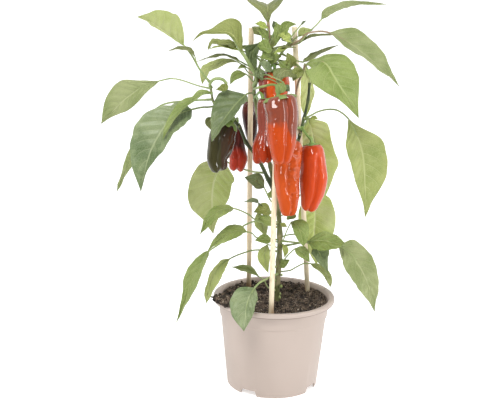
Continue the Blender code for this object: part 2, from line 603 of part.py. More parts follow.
def add_fruit_stalk(name, fruit):
    """Add a fruit's stalk and the toothed cup that sits on the fruit's flat top."""
    top = Vector(fruit.top)
    way = (fruit_axis(fruit, 0.0) - fruit_axis(fruit, 0.02)).normalized()
    cup = fruit.radius * CUP_SHARE
    neck = top + way * (cup * 0.5 + 2.0)
    start, out = seat(fruit.root, fruit.stalk[0])
    path = smooth_path([start, *fruit.stalk, neck], FRUIT_STALK_STEPS)
    along = directions(path)
    along[0] = out
    ups = carried_normals(along, len(path) - 1, Vector((0, 1, 0)))
    rings = []
    for point, step, up in zip(path, along, ups):
        rings.append(round_ring(point, step.cross(up), up, FRUIT_STALK_RADIUS, CUP_SIDES))
    up = (ups[-1] - way * ups[-1].dot(way)).normalized()
    side = (-way).cross(up)
    cup_rings = ((cup * 0.32 + 0.4, CUP_NECK_RADIUS, 1.0), (cup * 0.12 + 1.0, cup * 0.62, 1.0),
                 (CUP_EDGE, cup, CUP_TOOTH), (GAP, cup, CUP_TOOTH - 0.05))
    for height, radius, tooth in cup_rings:
        middle = top + way * height
        ring = round_ring(middle, side, up, radius, CUP_SIDES)
        rings.append([middle + (point - middle) * (tooth if j % 2 else 1.0) for j, point in enumerate(ring)])
    return add_object(f"cup_{name}", skin(rings), "cup")


def cylinder(start, end, radius, sides):
    """Make a straight round bar between two points."""
    return tube((start, end), radius, radius, sides)


def cane_ends(cane):
    """Give a cane's buried foot and its top."""
    foot, top = Vector(cane.foot), Vector(cane.top)
    return foot - (top - foot).normalized() * cane.depth, top


def add_cane(name, cane):
    """Add one plain cane."""
    foot, top = cane_ends(cane)
    return add_object(name, cylinder(foot, top, CANE_RADIUS, CANE_SIDES), "cane")


def wall_radius(height):
    """Give the outer radius of the pot's tapered wall below the collar."""
    return BASE_RADIUS + (WALL_TOP_RADIUS - BASE_RADIUS) * height / COLLAR_FOOT


def notch_cutter(turn):
    """Make the wedge that cuts one foot notch through the pot's base ring."""
    out = Vector((math.sin(turn), -math.cos(turn), 0))
    across = Vector((math.cos(turn), math.sin(turn), 0))
    rings = []
    for reach in (BASE_RADIUS - NOTCH_INNER, BASE_RADIUS + NOTCH_OUTER):
        corners = ((-NOTCH_FOOT_WIDTH, -1.0), (NOTCH_FOOT_WIDTH, -1.0), (NOTCH_HEAD_WIDTH, NOTCH_HEIGHT),
                   (-NOTCH_HEAD_WIDTH, NOTCH_HEIGHT))
        middle = out * reach
        rings.append([middle + across * width / 2 + Vector((0, 0, height)) for width, height in corners])
    return skin(rings)


def add_pot():
    """Add the pot: tapered wall, stacking collar, hollow rim, raised floor and foot notches."""
    lip = POT_HEIGHT - LIP_HEIGHT
    inner_floor = DISH_RISE + FLOOR
    outline = [
        (0, 0), (DISH_RADIUS, 0), (DISH_RADIUS + 0.6, DISH_RISE), (BASE_RADIUS - 2.0, DISH_RISE),
        (BASE_RADIUS - 1.8, 0), (BASE_RADIUS - 0.6, 0), (BASE_RADIUS, 0.8),
        (WALL_TOP_RADIUS, COLLAR_FOOT), (COLLAR_FOOT_RADIUS, COLLAR_FOOT + 0.8),
        (COLLAR_TOP_RADIUS, POT_HEIGHT - 6.0), (RIM_MOUTH + 0.4, POT_HEIGHT - LIP_WALL),
        (RIM_RADIUS - LIP_WALL, POT_HEIGHT - LIP_WALL),
        (RIM_RADIUS - LIP_WALL, lip), (RIM_RADIUS - 0.2, lip), (RIM_RADIUS, POT_HEIGHT - 0.9),
        (RIM_RADIUS - 0.8, POT_HEIGHT), (RIM_MOUTH, POT_HEIGHT), (RIM_MOUTH - 1.4, POT_HEIGHT - 1.0),
        (COLLAR_TOP_RADIUS - WALL, POT_HEIGHT - 6.0), (COLLAR_FOOT_RADIUS - WALL, COLLAR_FOOT + 1.2),
        (WALL_TOP_RADIUS - WALL, COLLAR_FOOT - 0.6), (wall_radius(inner_floor) - WALL, inner_floor),
        (DISH_RADIUS - 0.9, inner_floor), (DISH_RADIUS - 1.7, FLOOR), (0, FLOOR),
    ]
    pot = add_object("pot", turned(outline, POT_SIDES), "pot")
    pot.data.set_sharp_from_angle(angle=SHARP_FROM)
    for i in range(NOTCH_COUNT):
        turn = FIRST_NOTCH + math.tau * i / NOTCH_COUNT
        notch = add_object(f"notch_cutter_{i}", notch_cutter(turn), "pot")
        add_boolean(pot, "DIFFERENCE", notch)
        centre = Vector((math.sin(turn), -math.cos(turn), 0)) * DRAIN_CIRCLE
        foot, head = centre + Vector((0, 0, DISH_RISE - 1)), centre + Vector((0, 0, inner_floor + 1))
        drain = add_object(f"drain_cutter_{i}", cylinder(foot, head, DRAIN_RADIUS, 12), "pot")
        add_boolean(pot, "DIFFERENCE", drain)
    return pot


def soil_body():
    """Make the soil's body: it fills the pot and has a rough top."""
    inner_floor = DISH_RISE + FLOOR
    edge = COLLAR_TOP_RADIUS - WALL - SOIL_PLAY
    outline = [
        (0, FLOOR + GAP), (DISH_RADIUS - 2.1, FLOOR + GAP), (DISH_RADIUS - 1.3, inner_floor + GAP),
        (wall_radius(inner_floor) - WALL - SOIL_PLAY, inner_floor + GAP),
        (WALL_TOP_RADIUS - WALL - SOIL_PLAY, COLLAR_FOOT - 0.6), (edge - 0.9, COLLAR_FOOT + 3.0),
        (edge - 0.2, SOIL_LEVEL + 0.4),
        *((radius, SOIL_LEVEL) for radius in reversed(SOIL_RINGS)), (0, SOIL_LEVEL),
    ]
    bm = turned(outline, POT_SIDES)
    for vert in bm.verts:
        if vert.co.z > SOIL_LEVEL - 1.0 and math.hypot(vert.co.x, vert.co.y) < edge - 1.0:
            vert.co.z += SOIL_ROUGHNESS * noise.noise(vert.co / SOIL_GRAIN)
    bmesh.ops.triangulate(bm, faces=bm.faces)
    return bm


def heap_body():
    """Make the heap of soil that spilled over the rim at the front left."""
    out = Vector((math.sin(HEAP_TURN), -math.cos(HEAP_TURN), 0))
    across = Vector((-out.y, out.x, 0))
    bm = bmesh.new()
    bmesh.ops.create_icosphere(bm, subdivisions=2, radius=1.0)
    for vert in bm.verts:
        rough = 1.0 + HEAP_ROUGHNESS * noise.noise(vert.co * HEAP_GRAIN)
        along, outward, up = (size * part * rough for size, part in zip(HEAP_SIZE, vert.co))
        vert.co = out * (HEAP_CIRCLE + outward) + across * along + Vector((0, 0, HEAP_HEIGHT + up))
    bmesh.ops.recalc_face_normals(bm, faces=bm.faces)
    return bm


def rim_cutter():
    """Make the ring that keeps the heap clear of the pot's wall and rim."""
    top = POT_HEIGHT + GAP
    wall = COLLAR_TOP_RADIUS - WALL - SOIL_PLAY
    outline = [(wall, 80.0), (wall, POT_HEIGHT - 6.0), (RIM_MOUTH - 1.8, POT_HEIGHT - 1.0),
               (RIM_MOUTH - 0.3, top), (RIM_RADIUS + 9.0, top), (RIM_RADIUS + 9.0, 80.0)]
    return turned(outline, POT_SIDES)


def add_soil():
    """Add the soil, with its spilled heap and plain holes for the canes and the stem."""
    soil = add_object("soil", soil_body(), "soil", smooth=False)
    add_boolean(soil, "UNION", add_object("heap", heap_body(), "soil"))
    add_boolean(soil, "DIFFERENCE", add_object("rim_cutter", rim_cutter(), "soil"))
    for name, cane in CANES.items():
        foot, top = cane_ends(cane)
        way = (top - foot).normalized()
        hole = cylinder(foot - way * GAP, foot + way * (cane.depth + 15), CANE_RADIUS + GAP, CANE_SIDES)
        add_boolean(soil, "DIFFERENCE", add_object(f"hole_{name}", hole, "soil"))
    main = BRANCHES["main"]
    foot, surface = Vector(main.points[0]), Vector(main.points[1])
    below, above = foot - Vector((0, 0, GAP)), surface + Vector((0, 0, 12))
    hole = cylinder(below, above, main.foot_radius + GAP, CANE_SIDES)
    add_boolean(soil, "DIFFERENCE", add_object("hole_stem", hole, "soil"))
    return soil


def build():
    """Model the whole plant in its pot."""
    clear_scene()
    add_pot()
    add_soil()
    for name, cane in CANES.items():
        add_cane(name, cane)
    add_stem()
    for name, fruit in FRUIT.items():
        add_fruit(name, fruit)
        add_fruit_stalk(name, fruit)
    for name, leaf in LEAVES.items():
        add_large_leaf(name, leaf)


build()
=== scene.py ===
"""Finished looks of a potted sweet pepper plant: pot, soil, canes, leafy stem, fruit and leaves.

Places and sizes are in millimetres and become metres when a mesh is shaped. +Z is up, the side that
was photographed faces -Y, and the origin is the middle of the pot's flat underside.
"""

from __future__ import annotations

import logging
import math
import random
from collections.abc import Callable, Iterable
from dataclasses import dataclass, field, replace
from enum import Enum

import bpy
from mathutils import Euler, Matrix, Vector, noise


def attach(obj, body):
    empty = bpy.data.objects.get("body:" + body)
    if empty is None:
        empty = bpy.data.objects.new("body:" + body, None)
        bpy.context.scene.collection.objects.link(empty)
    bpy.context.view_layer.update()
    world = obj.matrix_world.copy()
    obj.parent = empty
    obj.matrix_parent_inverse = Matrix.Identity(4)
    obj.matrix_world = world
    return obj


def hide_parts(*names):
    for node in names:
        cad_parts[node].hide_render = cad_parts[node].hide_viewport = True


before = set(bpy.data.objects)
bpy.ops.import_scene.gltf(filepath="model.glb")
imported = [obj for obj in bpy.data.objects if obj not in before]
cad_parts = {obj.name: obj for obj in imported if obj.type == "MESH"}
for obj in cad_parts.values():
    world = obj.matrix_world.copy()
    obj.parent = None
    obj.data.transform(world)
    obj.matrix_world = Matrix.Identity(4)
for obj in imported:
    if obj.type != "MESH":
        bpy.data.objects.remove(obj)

LOG = logging.getLogger("pepper_plant")
MM = 0.001
BODY = "root"  # the one body that every piece rides on

Place = tuple[float, float, float]
Colour = tuple[float, float, float]
Pair = tuple[float, float]
Piece = bpy.types.Object
Material = bpy.types.Material
Socket = bpy.types.NodeSocket


# Paths and frames along them


@dataclass(frozen=True)
class Station:
    """A place on a path with the two directions that a section across it is drawn by."""

    centre: Vector
    side: Vector
    up: Vector


def clamped(value: float) -> float:
    """Keep a number from 0 to 1."""
    return min(max(value, 0.0), 1.0)


def curve_point(points: list[Vector], share: float) -> Vector:
    """Give a point on the smooth curve through some points.

    Args:
        points: The points that the curve runs through.
        share: How far along it the wanted point lies, from 0 to 1.

    Returns:
        The point.
    """
    spans = len(points) - 1
    place = clamped(share) * spans
    index = min(int(place), spans - 1)
    t = place - index
    p1, p2 = points[index], points[index + 1]
    p0 = points[index - 1] if index > 0 else p1 * 2 - p2
    p3 = points[index + 2] if index + 2 <= spans else p2 * 2 - p1
    return 0.5 * (2 * p1 + (p2 - p0) * t + (2 * p0 - 5 * p1 + 4 * p2 - p3) * t ** 2
                  + (3 * p1 - p0 - 3 * p2 + p3) * t ** 3)


def smooth_path(points: Iterable[Place | Vector], steps: int) -> list[Vector]:
    """Sample the smooth curve through some points.

    Args:
        points: The points that the curve runs through.
        steps: How many lengths it is cut into.

    Returns:
        One point more than there are steps.
    """
    points = [Vector(point) for point in points]
    return [curve_point(points, i / steps) for i in range(steps + 1)]


def stations_on(path: list[Vector], anchor: int, up: Vector) -> list[Station]:
    """Set up a section's directions at every point of a path, turning them as little as possible.

    Args:
        path: The points of the path.
        anchor: The index of the point where the section's upward direction is known.
        up: That direction.

    Returns:
        A station for each point.
    """
    last = len(path) - 1
    ways = [(path[min(i + 1, last)] - path[max(i - 1, 0)]).normalized() for i in range(last + 1)]
    ups: list[Vector] = [Vector()] * (last + 1)
    ups[anchor] = (up - ways[anchor] * up.dot(ways[anchor])).normalized()
    for i in range(anchor + 1, last + 1):
        ups[i] = (ups[i - 1] - ways[i] * ups[i - 1].dot(ways[i])).normalized()
    for i in range(anchor - 1, -1, -1):
        ups[i] = (ups[i + 1] - ways[i] * ups[i + 1].dot(ways[i])).normalized()
    return [Station(path[i], ways[i].cross(ups[i]), ups[i]) for i in range(last + 1)]


def eased(value: float, start: float, end: float) -> float:
    """Give 0 before start and 1 after end, with a smooth rise between them."""
    share = clamped((value - start) / (end - start))
    return share * share * (3 - 2 * share)


# Modelling steps


def deselect_all() -> None:
    """Leave edit mode and select nothing."""
    active = bpy.context.view_layer.objects.active
    if active and active.mode != "OBJECT":
        bpy.ops.object.mode_set(mode="OBJECT")
    bpy.ops.object.select_all(action="DESELECT")


def pick(piece: Piece) -> None:
    """Make a piece the only selected one, and active."""
    deselect_all()
    piece.select_set(True)
    bpy.context.view_layer.objects.active = piece


def started(name: str) -> Piece:
    """Name the primitive that was just added and give it."""
    piece = bpy.context.object
    piece.name = name
    piece.data.name = name
    return piece


def put_finish(piece: Piece, *materials: Material) -> None:
    """Give a piece its materials, in the order of its slots."""
    piece.data.materials.clear()
    for material in materials:
        piece.data.materials.append(material)


def apply_modifier(piece: Piece, kind: str, **settings: object) -> None:
    """Add a modifier and apply it at once.

    Args:
        piece: The object that it changes.
        kind: The modifier's type.
        settings: The modifier's own settings.
    """
    pick(piece)
    modifier = piece.modifiers.new(kind.title(), kind)
    for key, value in settings.items():
        setattr(modifier, key, value)
    bpy.ops.object.modifier_apply(modifier=modifier.name)


def join(pieces: list[Piece], name: str) -> Piece:
    """Join some objects into the first one.

    Args:
        pieces: The objects.
        name: The name of the joined piece.

    Returns:
        The joined piece.
    """
    deselect_all()
    for piece in pieces:
        piece.select_set(True)
    bpy.context.view_layer.objects.active = pieces[0]
    bpy.ops.object.join()
    return started(name)


def smooth_faces(piece: Piece, degrees: float = 40.0) -> None:
    """Shade a piece smoothly, with an edge kept sharp where its faces turn by more than an angle."""
    pick(piece)
    bpy.ops.object.shade_smooth_by_angle(angle=math.radians(degrees))


def swept_bar(name: str, stations: list[Station], sides: int,
              radius: Callable[[float, float], float]) -> Piece:
    """Shape a cylinder into a bar that follows a path.

    Args:
        name: The bar's name.
        stations: The places that its sections lie at.
        sides: How many sides a section has.
        radius: The radius in mm at a share of the way along and a turn round the section.

    Returns:
        The bar.
    """
    deselect_all()
    bpy.ops.mesh.primitive_cylinder_add(vertices=sides, radius=1.0, depth=2.0, end_fill_type="NGON")
    bar = started(name)
    steps = len(stations) - 1
    mesh = bar.data
    bpy.ops.object.mode_set(mode="EDIT")
    bpy.ops.mesh.select_all(action="DESELECT")
    bpy.ops.mesh.select_mode(type="EDGE")
    bpy.ops.object.mode_set(mode="OBJECT")
    for edge in mesh.edges:
        low, high = (mesh.vertices[i].co.z for i in edge.vertices)
        edge.select = abs(high - low) > 1.0
    bpy.ops.object.mode_set(mode="EDIT")
    bpy.ops.mesh.subdivide(number_cuts=steps - 1)
    bpy.ops.object.mode_set(mode="OBJECT")
    for vertex in mesh.vertices:
        share = (vertex.co.z + 1.0) / 2.0
        station = stations[round(share * steps)]
        turn = math.atan2(vertex.co.y, vertex.co.x)
        reach = radius(share, turn)
        spoke = station.side * math.cos(turn) + station.up * math.sin(turn)
        vertex.co = (station.centre + spoke * reach) * MM
    turn_outwards(bar)
    smooth_faces(bar, 55.0)
    return bar


def turn_outwards(piece: Piece) -> None:
    """Point all of a closed piece's faces outwards."""
    pick(piece)
    bpy.ops.object.mode_set(mode="EDIT")
    bpy.ops.mesh.select_all(action="SELECT")
    bpy.ops.mesh.normals_make_consistent(inside=False)
    bpy.ops.object.mode_set(mode="OBJECT")


def turned_body(name: str, outline: list[Pair], sides: int) -> Piece:
    """Raise a turned body from a circle, extruding its rim from one outline point to the next.

    Args:
        name: The body's name.
        outline: Its (radius, height) pairs, from the middle of one end to the middle of the other.
        sides: How many sides it has.

    Returns:
        The closed body.
    """
    deselect_all()
    bpy.ops.mesh.primitive_circle_add(vertices=sides, radius=outline[0][0] * MM, fill_type="NGON")
    body = started(name)
    bpy.ops.object.mode_set(mode="EDIT")
    bpy.ops.mesh.select_all(action="SELECT")
    bpy.ops.transform.translate(value=(0, 0, outline[0][1] * MM))
    for (near, low), (far, high) in zip(outline, outline[1:]):
        bpy.ops.mesh.extrude_region_move(TRANSFORM_OT_translate={"value": (0, 0, (high - low) * MM)})
        bpy.ops.transform.resize(value=(far / near, far / near, 1.0))
    bpy.ops.object.mode_set(mode="OBJECT")
    turn_outwards(body)
    return body


def cut_away(piece: Piece, cutters: list[Piece]) -> None:
    """Cut a piece by some closed cutters and remove them."""
    for cutter in cutters:
        apply_modifier(piece, "BOOLEAN", operation="DIFFERENCE", object=cutter, solver="EXACT")
        bpy.data.objects.remove(cutter, do_unlink=True)


def scattered(template: Piece, places: list[Matrix], name: str) -> Piece:
    """Copy a small shape to many places and join the copies.

    Args:
        template: The shape, modelled round the origin in metres; it is removed.
        places: Where each copy goes, how it turns and how large it is.
        name: The name of the joined piece.

    Returns:
        The joined copies.
    """
    copies = []
    for place in places:
        mesh = template.data.copy()
        mesh.transform(place)
        copy = bpy.data.objects.new(name, mesh)
        bpy.context.scene.collection.objects.link(copy)
        copies.append(copy)
    bpy.data.objects.remove(template, do_unlink=True)
    return join(copies, name)


def placed(spot: Vector, turn: Euler, size: Vector) -> Matrix:
    """Give the matrix that puts a shape at a spot in mm, turned and scaled."""
    return Matrix.Translation(spot * MM) @ turn.to_matrix().to_4x4() @ Matrix.Diagonal((*size, 1.0))


def any_turn(draw: random.Random) -> Euler:
    """Draw a turn about all three axes."""
    return Euler([draw.uniform(0.0, math.tau) for _ in range(3)])


def drawn_size(draw: random.Random, sizes: Place) -> float:
    """Draw a size from the smallest one, what the largest adds to it, and how rare large ones are."""
    least, extra, rarity = sizes
    return least + extra * draw.random() ** rarity


def settle(piece: Piece, slot: str, *nodes: str) -> None:
    """Hand a finished piece over: what it rides on and what it stands for.

    Args:
        piece: The finished piece.
        slot: The record's material slot that it takes its finish from; not used.
        nodes: The nodes of the solid model that it replaces.
    """
    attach(piece, BODY)
    if nodes:
        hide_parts(*nodes)
    stands_for = ", ".join(nodes) or "looks only"
    LOG.info("%s: %d faces, for %s", piece.name, len(piece.data.polygons), stands_for)


# Finishes


class Shade:
    """A material's node tree, grown by short calls that each give a socket."""

    def __init__(self, name: str, roughness: float) -> None:
        """Start a material with one principled shader."""
        self.material = bpy.data.materials.new(name)
        self.material.use_nodes = True
        self.nodes = self.material.node_tree.nodes
        self.links = self.material.node_tree.links
        self.surface = self.nodes["Principled BSDF"]
        self.surface.inputs["Roughness"].default_value = roughness

    def feed(self, socket: Socket, value: object) -> None:
        """Link a socket to another, or set it."""
        if isinstance(value, Socket):
            self.links.new(value, socket)
        else:
            socket.default_value = value

    def add(self, kind: str, inputs: dict, **settings: object) -> bpy.types.Node:
        """Add a node.

        Args:
            kind: The node's type, without its prefix.
            inputs: Values or sockets for its inputs, by name or index.
            settings: Its own settings.

        Returns:
            The node.
        """
        node = self.nodes.new(f"ShaderNode{kind}")
        for key, value in settings.items():
            setattr(node, key, value)
        for key, value in inputs.items():
            self.feed(node.inputs[key], value)
        return node

    def place(self, stretch: Place = (1.0, 1.0, 1.0)) -> Socket:
        """Give the place on the piece in metres, stretched along the axes."""
        spot = self.add("TexCoord", {}).outputs["Object"]
        return self.add("Mapping", {"Vector": spot, "Scale": stretch}).outputs[0]

    def sheet_place(self) -> tuple[Socket, Socket]:
        """Give the two coordinates of the piece's own UV map."""
        spot = self.add("TexCoord", {}).outputs["UV"]
        across, along, _ = self.parts(spot)
        return across, along

    def math(self, operation: str, first: object, second: object = 0.0, third: object = 0.0) -> Socket:
        """Work out one number from up to three others."""
        return self.add("Math", {0: first, 1: second, 2: third}, operation=operation).outputs[0]

    def times(self, first: object, second: object) -> Socket:
        """Multiply two numbers."""
        return self.math("MULTIPLY", first, second)

    def parts(self, place: object) -> bpy.types.bpy_prop_collection:
        """Give the three parts of a place."""
        return self.add("SeparateXYZ", {0: place}).outputs

    def fade(self, value: object, start: object, end: object) -> Socket:
        """Give 0 where a value is at start and 1 where it is at end, with a smooth rise between."""
        inputs = {"Value": value, "From Min": start, "From Max": end}
        return self.add("MapRange", inputs, interpolation_type="SMOOTHSTEP").outputs[0]

    def mix(self, amount: object, first: object, second: object) -> Socket:
        """Mix two colours by an amount from 0, the first, to 1, the second."""
        first, second = ((*c, 1.0) if isinstance(c, tuple) else c for c in (first, second))
        return self.add("Mix", {0: amount, 6: first, 7: second}, data_type="RGBA").outputs[2]

    def noise(self, place: object, scale: float, detail: float = 2.0, distortion: float = 0.0) -> Socket:
        """Give soft noise from 0 to 1 at so many blotches a metre."""
        inputs = {"Vector": place, "Scale": scale, "Detail": detail, "Distortion": distortion}
        return self.add("TexNoise", inputs).outputs[0]

    def cells(self, place: object, scale: float) -> Socket:
        """Give the distance to the nearest border between cells, at so many cells a metre."""
        inputs = {"Vector": place, "Scale": scale}
        return self.add("TexVoronoi", inputs, feature="DISTANCE_TO_EDGE").outputs[0]

    def bump(self, height: object, depth: float, strength: float = 1.0) -> None:
        """Emboss the surface by a height from 0 to 1 over a depth in mm, on top of earlier bumps."""
        inputs = {"Height": height, "Distance": depth * MM, "Strength": strength}
        earlier = self.surface.inputs["Normal"].links
        if earlier:
            inputs["Normal"] = earlier[0].from_socket
        made = self.add("Bump", inputs)
        self.links.new(made.outputs[0], self.surface.inputs["Normal"])

    def paint(self, colour: object) -> None:
        """Set the surface's colour."""
        value = (*colour, 1.0) if isinstance(colour, tuple) else colour
        self.feed(self.surface.inputs["Base Color"], value)

    def gloss(self, coat: float, coat_roughness: float) -> None:
        """Lay a clear waxy coat over the surface."""
        self.surface.inputs["Coat Weight"].default_value = coat
        self.surface.inputs["Coat Roughness"].default_value = coat_roughness


@dataclass(frozen=True)
class LeafFinish:
    """A leaf's greens: the upper face's two, the veins' and the underside's, and how matt it is."""

    name: str
    blade: Colour
    deep: Colour
    vein: Colour
    underside: Colour
    roughness: float = 0.44
    relief: float = 1.0  # how strongly it is crumpled

    def blade_material(self, under: bool) -> Material:
        """Make the material of one face of the blades.

        Args:
            under: Whether it is for the paler underside, where the veins stand out.

        Returns:
            The material.
        """
        shade = Shade(f"{self.name}_{'under' if under else 'upper'}", self.roughness)
        across, along = shade.sheet_place()
        offset = shade.math("SUBTRACT", across, 0.5)
        out = shade.times(shade.math("ABSOLUTE", offset), 2.0)
        lean = shade.times(shade.math("POWER", out, VEIN_CURVE), -VEIN_LEAN)
        stagger = shade.times(shade.math("GREATER_THAN", offset, 0.0), VEIN_STAGGER)
        phase = shade.math("ADD", shade.math("ADD", along, lean), stagger)
        gap = shade.math("ABSOLUTE", shade.math("SUBTRACT", shade.math("FRACT", phase), 0.5))
        width = shade.math("MULTIPLY_ADD", out, -VEIN_TAPER, VEIN_WIDTH)
        side_veins = shade.times(shade.fade(gap, width, 0.0), shade.fade(out, 0.97, 0.6))
        midrib = shade.fade(out, *MIDRIB_EDGE)
        place = shade.place()
        net = shade.times(shade.fade(shade.cells(place, NET_CELLS), 0.12, 0.0), NET_STRENGTH)
        veins = shade.math("MAXIMUM", midrib, shade.math("MAXIMUM", side_veins, net))
        patches = shade.fade(shade.noise(place, 38.0, 3.0), 0.32, 0.68)
        ground = self.underside if under else self.blade
        blotch = shade.mix(0.45 if under else 1.0, ground, self.deep)
        leafy = shade.mix(patches, ground, blotch)
        shade.paint(shade.mix(shade.times(veins, VEIN_PAINT), leafy, self.vein))
        shade.bump(veins if under else shade.math("SUBTRACT", 1.0, veins), 0.45, 0.8)
        pillow = shade.times(shade.fade(gap, 0.0, 0.5), shade.fade(out, 1.0, 0.7))
        shade.bump(pillow, 0.6, 0.5)
        shade.bump(shade.noise(place, 120.0, 2.0), 1.2 * self.relief, 0.5)
        shade.bump(shade.noise(place, 900.0, 2.0), 0.12, 0.5)
        roughness = shade.math("MULTIPLY_ADD", patches, PATCH_ROUGHNESS, self.roughness)
        shade.feed(shade.surface.inputs["Roughness"], roughness)
        return shade.material


VEIN_LEAN = 1.6  # how many vein spacings a side vein climbs on its way to the edge
VEIN_CURVE = 1.25  # how much it bends up: 1 would be straight
VEIN_STAGGER = 0.5  # how far the right half's side veins are shifted, in spacings
VEIN_WIDTH, VEIN_TAPER = 0.062, 0.035  # a side vein's half width at the midrib, and what it loses
VEIN_PAINT = 0.7  # how strongly the veins are coloured
MIDRIB_EDGE = (0.075, 0.02)  # where the midrib begins and is whole, as shares of the half width
NET_CELLS, NET_STRENGTH = 420.0, 0.35  # the net of fine veins: cells a metre, and how strong it is
PATCH_ROUGHNESS = 0.12  # how much more matt the deeper patches are


@dataclass(frozen=True)
class StalkFinish:
    """The skin of stalks and branches: its colour, its blotches and how matt it is."""

    name: str
    colour: Colour
    blotch: Colour
    roughness: float = 0.45

    def material(self) -> Material:
        """Make the material."""
        shade = Shade(self.name, self.roughness)
        fine = shade.noise(shade.place((1.0, 1.0, 0.25)), 420.0, 3.0)
        broad = shade.noise(shade.place(), 70.0, 3.0)
        shade.paint(shade.mix(shade.fade(broad, 0.42, 0.66), self.colour, self.blotch))
        shade.bump(fine, 0.25, 0.6)
        return shade.material


@dataclass(frozen=True)
class FruitFinish:
    """A fruit's glossy skin, with one colour above a height and another below it."""

    name: str
    slot: str
    top: Colour
    bottom: Colour
    turns_at: float  # height in mm where the one colour turns into the other
    turns_over: float  # mm that the turn is spread over
    shift: Place = (0.0, 1.0, 0.0)  # mm to the right where a shift begins and is whole, and its size
    drift: float = 22.0  # mm that the turn wanders up and down
    streaking: float = 0.3  # how strong the pale streaks are
    roughness: float = 0.2
    shine: float = 0.05  # of the skin under its clear coat

    def material(self) -> Material:
        """Make the glossy skin."""
        shade = Shade(self.name, self.roughness)
        place = shade.place()
        right, _, up = shade.parts(place)
        start, end, size = (value * MM for value in self.shift)
        shifted = shade.math("SUBTRACT", up, shade.times(shade.fade(right, start, end), size))
        wander = shade.math("SUBTRACT", shade.noise(place, 60.0, 2.0), 0.5)
        height = shade.math("ADD", shifted, shade.times(wander, self.drift * MM))
        half = self.turns_over / 2
        share = shade.fade(height, (self.turns_at - half) * MM, (self.turns_at + half) * MM)
        skin = shade.mix(share, self.bottom, self.top)
        streaks = shade.noise(shade.place((1.0, 1.0, 0.12)), 260.0, 3.0, 0.4)
        pale = tuple(min(1.0, part * 1.25 + 0.012) for part in self.bottom)
        shade.paint(shade.mix(shade.times(shade.fade(streaks, 0.5, 0.8), self.streaking), skin, pale))
        shade.bump(shade.noise(place, 160.0, 2.0), 0.2, 0.2)
        shade.gloss(1.0, 0.03)
        shade.surface.inputs["Specular IOR Level"].default_value = self.shine
        return shade.material


@dataclass(frozen=True)
class PotFinish:
    """Taupe moulded plastic, almost plain, with soil dust on the rim and a dark line of painted shade under
    its lip.
    """

    name: str = "taupe_plastic"
    colour: Colour = (0.425, 0.35, 0.305)
    pale: Colour = (0.445, 0.368, 0.323)
    # The colour of the soil dust, also used to darken the painted shade under the lip
    dust_and_shade: Colour = (0.10, 0.07, 0.05)
    dust_band: Pair = (103.5, 106.8)  # heights in mm where dust begins and is thickest
    dustiness: float = 0.55
    lip_shade_foot: Pair = (97.5, 100.2)  # heights where the painted shade under the lip begins and is whole
    lip_shade_head: Pair = (102.2, 101.2)  # heights where it is gone and still whole
    # How far the painted shade under the lip darkens the plastic towards that colour
    lip_shade_strength: float = 0.7
    roughness: float = 0.45

    def material(self) -> Material:
        """Make the plastic."""
        shade = Shade(self.name, self.roughness)
        place = shade.place()
        cloudy = shade.noise(shade.place((1.0, 1.0, 0.5)), 26.0, 2.0)
        skin = shade.mix(shade.fade(cloudy, 0.3, 0.7), self.colour, self.pale)
        height = shade.times(shade.parts(place)[2], 1 / MM)
        near_rim = shade.fade(height, *self.dust_band)
        specks = shade.fade(shade.noise(place, 170.0, 5.0), 0.56, 0.68)
        dusty = shade.times(shade.times(near_rim, specks), self.dustiness)
        # Painted shade: a dark band just under the lip, where the overhang shades the wall
        painted_lip_shade = shade.times(shade.fade(height, *self.lip_shade_foot), shade.fade(height, *self.lip_shade_head))
        shadowed = shade.mix(shade.times(painted_lip_shade, self.lip_shade_strength), skin, self.dust_and_shade)
        shade.paint(shade.mix(dusty, shadowed, self.dust_and_shade))
        shade.bump(shade.noise(place, 1500.0, 2.0), 0.05, 0.4)
        return shade.material


@dataclass(frozen=True)
class SoilFinish:
    """Peat, or what is mixed into it, with dark and pale grains."""

    name: str
    colour: Colour
    dark: Colour
    grain: float = 700.0

    def material(self) -> Material:
        """Make the crumbly material."""
        shade = Shade(self.name, 0.95)
        place = shade.place()
        grains = shade.fade(shade.noise(place, self.grain, 4.0), 0.35, 0.65)
        lumps = shade.fade(shade.noise(place, 110.0, 2.0), 0.36, 0.60)
        shade.paint(shade.mix(shade.times(grains, lumps), self.dark, self.colour))
        shade.bump(shade.noise(place, 1300.0, 4.0), 0.8)
        return shade.material


@dataclass(frozen=True)
class BambooFinish:
    """Split bamboo: pale fibres with darker streaks along them, and damp stains near the soil."""

    name: str
    colour: Colour
    streak: Colour
    damp: Colour = (0.30, 0.18, 0.09)
    damp_band: Pair = (116.0, 102.0)  # heights in mm where stains begin and are whole

    def material(self) -> Material:
        """Make the fibrous material."""
        shade = Shade(self.name, 0.55)
        fibres = shade.noise(shade.place((1.0, 1.0, 0.03)), 900.0, 4.0)
        patches = shade.noise(shade.place((1.0, 1.0, 0.4)), 60.0, 2.0)
        amount = shade.times(shade.fade(fibres, 0.42, 0.72), shade.fade(patches, 0.3, 0.75))
        height = shade.times(shade.parts(shade.place())[2], 1 / MM)
        stains = shade.times(shade.fade(height, *self.damp_band), shade.fade(patches, 0.35, 0.5))
        shade.paint(shade.mix(stains, shade.mix(amount, self.colour, self.streak), self.damp))
        shade.bump(fibres, 0.25, 0.7)
        return shade.material


